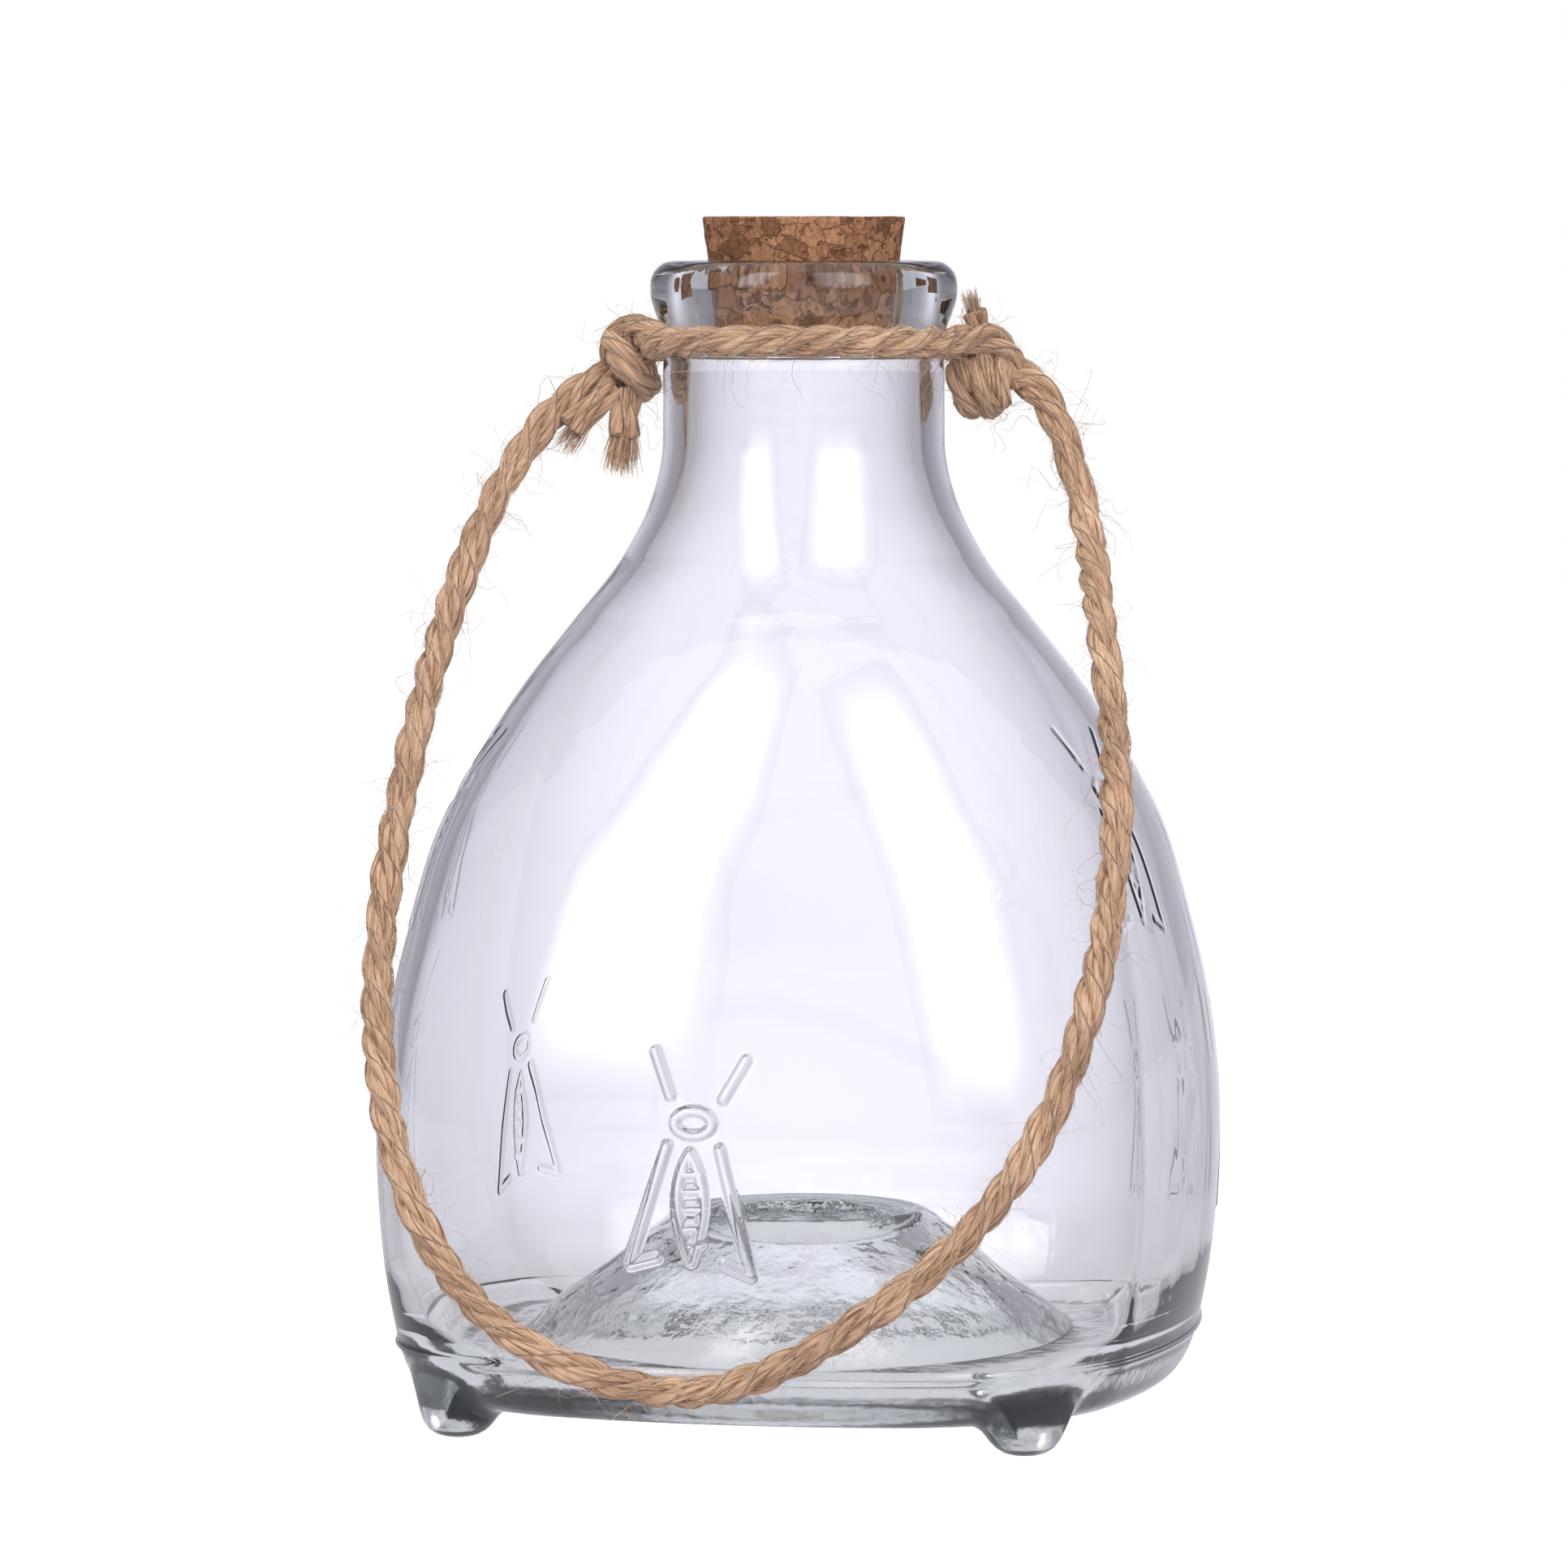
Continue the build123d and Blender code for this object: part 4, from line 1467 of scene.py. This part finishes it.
@dataclass(frozen=True)
class Hairs:
    """Single jute fibres: some lie along the rope, some stand off it. Lengths are in metres."""

    thickness: float = 0.00011
    lying: float = 7500.0      # fibres for each metre of rope
    lying_length: tuple = (0.004, 0.015)
    fuzz: float = 5000.0       # short ends that stand a little off the rope
    fuzz_length: tuple = (0.0012, 0.0042)
    loose: float = 800.0
    loose_length: tuple = (0.003, 0.010)
    reach: float = 0.0060      # how far a loose fibre may stand off
    steps: int = 9

    def tube(self, maker: MeshMaker, lines: np.ndarray, thickness: np.ndarray) -> None:
        """Adds fibres as thin three-sided tubes.

        Args:
            maker: Mesh that takes them.
            lines: Points of shape fibres by steps by 3.
            thickness: Thickness of each fibre.
        """
        way = unit(np.gradient(lines, axis=1))
        # Hardly any fibre runs along this direction
        side = unit(np.cross(way, np.array([0.31, 0.52, 0.79])))
        up = np.cross(way, side)
        taper = np.linspace(1.0, 0.45, lines.shape[1])[None, :, None]
        corner = np.array([0.0, 2.1, 4.2])
        rim = (thickness[:, None, None] * taper * 0.5)
        grid = (lines[:, :, None] + side[:, :, None] * (np.cos(corner) * rim)[..., None]
                + up[:, :, None] * (np.sin(corner) * rim)[..., None])
        uv = np.zeros((lines.shape[1], 3, 2))
        for number in range(len(lines)):
            uv[..., 0] = np.linspace(0, 1.0, lines.shape[1])[:, None] + number * 0.37
            uv[..., 1] = number * 0.193
            maker.add_grid(grid[number], uv=uv.copy())

    def lie(self, track: Track, rope: Rope, turning: np.ndarray, count: int,
            random: np.random.Generator) -> tuple[np.ndarray, np.ndarray]:
        """Fibres that lie along the rope, with ends that lift a little.

        Args:
            track: The rope's centre line.
            rope: The rope.
            turning: Angle of its first strand at each step of the line.
            count: Number of fibres.
            random: Source of their places.

        Returns:
            Their points and their thickness.
        """
        steps = np.linspace(0.0, 1.0, self.steps)[None]
        slope = rope.twist.value * 2 * math.pi / rope.lay
        start = random.uniform(0, track.length, (count, 1))
        length = random.uniform(*self.lying_length, (count, 1))
        index = track.step_at(start + length * steps)
        angle = (random.uniform(0, 2 * math.pi, (count, 1)) + slope * length * steps
                 * random.uniform(-0.25, 0.75, (count, 1))
                 + 0.22 * np.sin(steps * random.uniform(2, 7, (count, 1))))
        lift = rope.diameter / 2 * (rope.outline(angle - turning[index]) * 0.985
                                    + 0.07 * random.uniform(0, 1, (count, 1))
                                    + 0.16 * steps ** 3 * random.uniform(-0.3, 1, (count, 1)))
        points = track.around(index, angle, lift)
        return points, self.thickness * random.uniform(0.6, 1.5, count)

    def stand(self, track: Track, rope: Rope, turning: np.ndarray, count: int,
              random: np.random.Generator) -> tuple[np.ndarray, np.ndarray]:
        """Short ends that stand a little off the rope.

        Args:
            track: The rope's centre line.
            rope: The rope.
            turning: Angle of its first strand at each step of the line.
            count: Number of fibres.
            random: Source of their places.

        Returns:
            Their points and their thickness.
        """
        steps = np.linspace(0.0, 1.0, self.steps)[None]
        start = random.uniform(0, track.length, (count, 1))
        length = random.uniform(*self.fuzz_length, (count, 1))
        along = start + length * steps * random.choice([-1.0, 1.0], (count, 1)) * 0.85
        index = track.step_at(along)
        angle = (random.uniform(0, 2 * math.pi, (count, 1))
                 + steps * random.uniform(-0.5, 0.5, (count, 1)))
        lift = (rope.diameter / 2 * (rope.outline(angle - turning[index]) * 0.97)
                + length * steps ** 1.4 * random.uniform(0.1, 0.55, (count, 1)))
        points = track.around(index, angle, lift)
        return points, self.thickness * random.uniform(0.5, 1.0, count)

    def stray(self, track: Track, rope: Rope, count: int,
              random: np.random.Generator) -> tuple[np.ndarray, np.ndarray]:
        """Loose fibres that bend and curl away from the rope.

        Args:
            track: The rope's centre line.
            rope: The rope.
            count: Number of fibres.
            random: Source of their places.

        Returns:
            Their points and their thickness.
        """
        steps = np.linspace(0.0, 1.0, self.steps)[None]
        start = random.uniform(0, track.length, (count, 1))
        length = (random.uniform(*self.loose_length, (count, 1))
                  * random.choice([0.7, 1.0, 1.6], (count, 1)))
        lean = random.uniform(-1.0, 1.0, (count, 1))
        index = track.step_at(start + length * steps * lean)
        angle = (random.uniform(0, 2 * math.pi, (count, 1))
                 + steps ** 1.5 * random.uniform(-1.6, 1.6, (count, 1)))
        away = np.minimum(length * np.sqrt(1 - (0.8 * lean) ** 2), self.reach)
        bend = steps ** random.uniform(0.9, 1.8, (count, 1))
        points = track.around(index, angle, rope.diameter / 2 * 0.9 + away * bend)
        points = points + random.normal(0, 0.11, (count, 1, 3)) * (length * np.sin(
            steps * random.uniform(4, 11, (count, 1))))[..., None]
        # Most of them hang down a little
        points[..., 2] -= steps ** 2 * length * random.uniform(-0.1, 0.35, (count, 1))
        return points, self.thickness * random.uniform(0.55, 1.05, count)

    def coat(self, maker: MeshMaker, track: Track, rope: Rope, seed: int, share: float = 1.0,
             closed: bool = False) -> None:
        """Covers a rope with fibres.

        Args:
            maker: Mesh that takes the fibres.
            track: The rope's centre line.
            rope: The rope.
            seed: Seed of their places.
            share: Share of the usual number of fibres.
            closed: Whether the rope is a ring.
        """
        random = np.random.default_rng(SEED + 1000 + seed)
        turning = rope.turning(track, seed, closed)
        lying, fuzz, loose = (int(each * track.length * share)
                              for each in (self.lying, self.fuzz, self.loose))
        self.tube(maker, *self.lie(track, rope, turning, lying, random))
        self.tube(maker, *self.stand(track, rope, turning, fuzz, random))
        self.tube(maker, *self.stray(track, rope, loose, random))

    def brush(self, maker: MeshMaker, root: np.ndarray, tip: np.ndarray, spread: float,
              count: int, seed: int) -> None:
        """Adds a frayed brush of fibres.

        Args:
            maker: Mesh that takes the fibres.
            root: Middle of the brush's root.
            tip: Middle of its tip.
            spread: Radius of the tip.
            count: Number of fibres.
            seed: Seed of their places.
        """
        random = np.random.default_rng(SEED + 2000 + seed)
        steps = np.linspace(0.0, 1.0, self.steps)[None, :, None]
        way = tip - root
        side = np.cross(way, (0.1, 1.0, 0.1))
        side /= np.linalg.norm(side)
        up = np.cross(way / np.linalg.norm(way), side)
        angle = random.uniform(0, 2 * math.pi, (count, 1, 1))
        away = np.sqrt(random.uniform(0, 1, (count, 1, 1))) * spread
        flat = side * np.cos(angle) + up * np.sin(angle) * 0.55
        reach = random.uniform(0.75, 1.12, (count, 1, 1))
        curl = random.normal(0, 0.16, (count, 1, 3)) * spread
        open_up = 0.55 + 0.45 * steps
        lines = root + way * steps * reach + flat * away * open_up + curl * steps ** 2
        self.tube(maker, lines, self.thickness * random.uniform(0.8, 1.9, count))


@dataclass(frozen=True)
class CutEnd:
    """A cut end of cord: a short run in the cords' frame that parts into a brush of fibres."""

    name: str
    diameter: float
    run: tuple
    tip: tuple
    spread: float   # radius of the brush at its tip
    fibres: int


@dataclass(frozen=True)
class JuteCords:
    """Neck cord, hanging loop, knots and frayed ends, in millimetres in the cords' frame."""

    ring_radius: float = 26.05
    ring_height: float = 178.5
    ring_tilt: float = math.radians(2.0)
    ring_points: int = 360
    # Line of the hanging loop, from the right knot to the left one
    route: tuple = (
        (31, 0, 174.0), (35.6, 0, 174.0), (39.6, -1.2, 170.8), (42.8, -3.9, 164.4),
        (45.4, -8.2, 156.0), (47.5, -15.5, 145.0), (48.8, -26.0, 131.5), (50.7, -36.5, 116.2),
        (50.6, -47.0, 101.1), (49.0, -56.5, 86.9), (45.2, -64.0, 71.6), (39.7, -69.5, 57.1),
        (31.9, -72.5, 44.6), (22.0, -73.5, 33.8), (9.4, -73.5, 24.2), (-4.7, -72.5, 15.7),
        (-17.6, -70.5, 11.7), (-31.8, -69.0, 13.8), (-44.7, -67.5, 19.1), (-55.7, -65.0, 28.2),
        (-64.4, -60.8, 43.0), (-69.3, -53.2, 64.0), (-68.9, -42.5, 87.0), (-65.0, -32.5, 110.0),
        (-59.9, -21.0, 131.0), (-53.8, -11.0, 148.5), (-46.8, -3.9, 161.4), (-40.2, -1.0, 168.6),
        (-35.2, -0.4, 172.6), (-31, 0, 174.0))
    # Turns of cord in each knot: diameter and line of each
    windings: tuple = (
        ("left", (
            (4.8, ((-22.6, -9.6, 178.6), (-25.6, -5.2, 180.8), (-28.6, -2.6, 181.6),
                   (-31.4, -1.4, 179.6), (-32.0, 0.4, 175.6), (-30.6, 3.0, 172.0))),
            (5.2, ((-31.4, -1.8, 179.4), (-30.2, -4.6, 177.0), (-28.0, -5.0, 173.8),
                   (-26.4, -2.6, 171.4), (-26.2, 1.6, 171.6), (-27.6, 4.4, 174.8))),
            (4.8, ((-26.4, 3.4, 180.2), (-29.0, 4.8, 177.4), (-31.0, 3.6, 173.6),
                   (-30.8, 0.0, 171.4))),
            (4.4, ((-27.0, -1.0, 177.6), (-29.4, -2.0, 176.0), (-30.2, -0.6, 173.0))))),
        ("right", (
            (5.0, ((22.6, -11.0, 178.8), (26.4, -6.6, 179.4), (30.0, -4.2, 179.8),
                   (33.2, -2.6, 178.0), (34.6, -1.0, 174.8), (35.0, 0.0, 172.2))),
            (4.8, ((27.4, 2.2, 177.6), (26.2, -2.6, 176.2), (26.0, -4.6, 172.6),
                   (27.4, -3.2, 168.8), (28.8, 0.6, 168.0), (28.8, 3.8, 171.4))),
            (4.8, ((30.8, 2.0, 178.0), (29.4, -3.2, 176.6), (29.4, -5.4, 172.4),
                   (30.6, -3.6, 168.6), (31.6, 0.6, 168.2), (31.4, 3.8, 171.6))),
            (4.6, ((33.2, 1.6, 176.4), (32.4, -3.0, 175.0), (32.4, -4.2, 171.6),
                   (32.2, -2.0, 169.0), (31.6, 2.0, 169.2))),
            (4.8, ((24.6, 9.0, 178.2), (28.0, 5.4, 178.6), (31.6, 3.8, 176.6),
                   (32.4, 3.0, 172.4))))))
    cut_ends: tuple = (
        CutEnd("left_tail", 4.6, ((-29.0, -2.4, 171.0), (-29.6, -3.2, 167.6),
                                  (-29.9, -3.2, 163.4)), (-30.6, -3.4, 158.3), 3.0, 420),
        CutEnd("left_stub", 4.5, ((-31.4, -2.4, 171.6), (-35.2, -3.6, 168.4),
                                  (-38.6, -4.0, 164.6)), (-39.6, -4.2, 161.4), 2.1, 160),
        CutEnd("right_tail", 3.4, ((29.4, -2.8, 179.6), (28.8, -3.6, 182.0),
                                   (28.2, -4.0, 184.0)), (27.4, -4.6, 187.0), 1.7, 120))

    def dress(self, maker: MeshMaker, name: str, nodes: list[str], body: Body,
              material: bpy.types.Material) -> bpy.types.Object:
        """Makes one jute piece of a gathered mesh and seats it on its body.

        Args:
            maker: The gathered mesh.
            name: Name of the piece.
            nodes: CAD nodes that it stands for.
            body: Body that it rides on.
            material: Its finish.

        Returns:
            The piece.
        """
        made = maker.build(name)
        made.data.materials.append(material)
        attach(made, body.value)
        if nodes:
            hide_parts(*nodes)
        return made

    def loop(self, yarn: bpy.types.Material, hair: bpy.types.Material) -> None:
        """Makes the hanging loop with its fibres.

        Args:
            yarn: Finish of the strands.
            hair: Finish of the fibres.
        """
        line = spline_points(from_cord_frame(self.route))
        track = Track(line)
        rope = Rope()
        maker = MeshMaker()
        rope.lay_on(maker, track, seed=1)
        piece = self.dress(maker, "loop_rope", ["hanging_cord"], Body.LOOP, yarn)
        fibres = MeshMaker()
        Hairs().coat(fibres, track, rope, seed=1)
        coat = self.dress(fibres, "loop_fibres", [], Body.LOOP, hair)
        LOG.info("loop: %.3f m", track.length)

    def neck(self, yarn: bpy.types.Material, hair: bpy.types.Material) -> None:
        """Makes the cord round the neck.

        Args:
            yarn: Finish of the strands.
            hair: Finish of the fibres.
        """
        angles = np.linspace(0.0, 2.0 * math.pi, self.ring_points, endpoint=False)
        ring = np.stack([self.ring_radius * np.cos(angles),
                         self.ring_radius * np.sin(angles) * math.cos(self.ring_tilt),
                         self.ring_height - self.ring_radius * np.sin(angles)
                         * math.sin(self.ring_tilt)], axis=1)
        track = Track(from_cord_frame(ring), closed=True)
        rope = Rope()
        maker = MeshMaker()
        rope.lay_on(maker, track, seed=2, closed=True)
        self.dress(maker, "neck_rope", ["neck_cord"], Body.BOTTLE, yarn)
        fibres = MeshMaker()
        Hairs().coat(fibres, track, rope, seed=2, closed=True)
        self.dress(fibres, "neck_fibres", [], Body.BOTTLE, hair)
        LOG.info("neck cord ready")

    def knots(self, yarn: bpy.types.Material, hair: bpy.types.Material) -> None:
        """Makes both knots of overlapping turns of cord.

        Args:
            yarn: Finish of the strands.
            hair: Finish of the fibres.
        """
        for number, (side, turns) in enumerate(self.windings):
            maker = MeshMaker()
            fibres = MeshMaker()
            for turn, (diameter, line) in enumerate(turns):
                seed = 30 + number * 10 + turn
                track = Track(spline_points(from_cord_frame(line)), step=0.0005)
                rope = Rope(diameter=diameter * MM, lay=0.019, sides=22)
                rope.lay_on(maker, track, seed=seed)
                Hairs().coat(fibres, track, rope, seed=seed, share=1.1)
            self.dress(maker, f"{side}_knot_runs", [f"{side}_knot"], Body.BOTTLE, yarn)
            self.dress(fibres, f"{side}_knot_fibres", [], Body.BOTTLE, hair)
        LOG.info("knots ready")

    def ends(self, yarn: bpy.types.Material, hair: bpy.types.Material) -> None:
        """Makes the cut ends, each a short run that parts into a brush of fibres.

        Args:
            yarn: Finish of the strands.
            hair: Finish of the fibres.
        """
        for seed, end in enumerate(self.cut_ends, start=60):
            track = Track(spline_points(from_cord_frame(end.run)), step=0.0004)
            rope = Rope(diameter=end.diameter * MM, lay=0.03, fray=0.35, uneven=0.03)
            maker = MeshMaker()
            rope.lay_on(maker, track, seed=seed)
            self.dress(maker, f"{end.name}_strands", [end.name], Body.BOTTLE, yarn)
            fibres = MeshMaker()
            Hairs().coat(fibres, track, rope, seed=seed)
            root = track.points[len(track.points) // 3]
            tip = from_cord_frame((end.tip,))[0]
            Hairs().brush(fibres, root, tip, end.spread * MM, end.fibres, seed=seed)
            self.dress(fibres, f"{end.name}_brush", [], Body.BOTTLE, hair)
        LOG.info("cut ends ready")

    def build(self) -> None:
        """Makes all the cords."""
        fibre = JuteFinish.fibre()
        yarn = JuteFinish().build(fibre)
        hair = JuteFinish(name="jute_hair", pale=(0.84, 0.64, 0.47), golden=(0.56, 0.36, 0.22),
                          brown=(0.25, 0.13, 0.07), streaks=0.05).build(fibre)
        self.loop(yarn, hair)
        self.neck(yarn, hair)
        self.knots(yarn, hair)
        self.ends(yarn, hair)


def main() -> None:
    """Builds the set, the cords, the bottle and the cork."""
    logging.basicConfig(level=logging.INFO)
    Studio().build()
    JuteCords().build()
    GlassBottle().build(GlassFinish().build())
    CorkStopper().build(CorkFinish().build())
    LOG.info("sizes written")


if __name__ == "__main__":
    main()
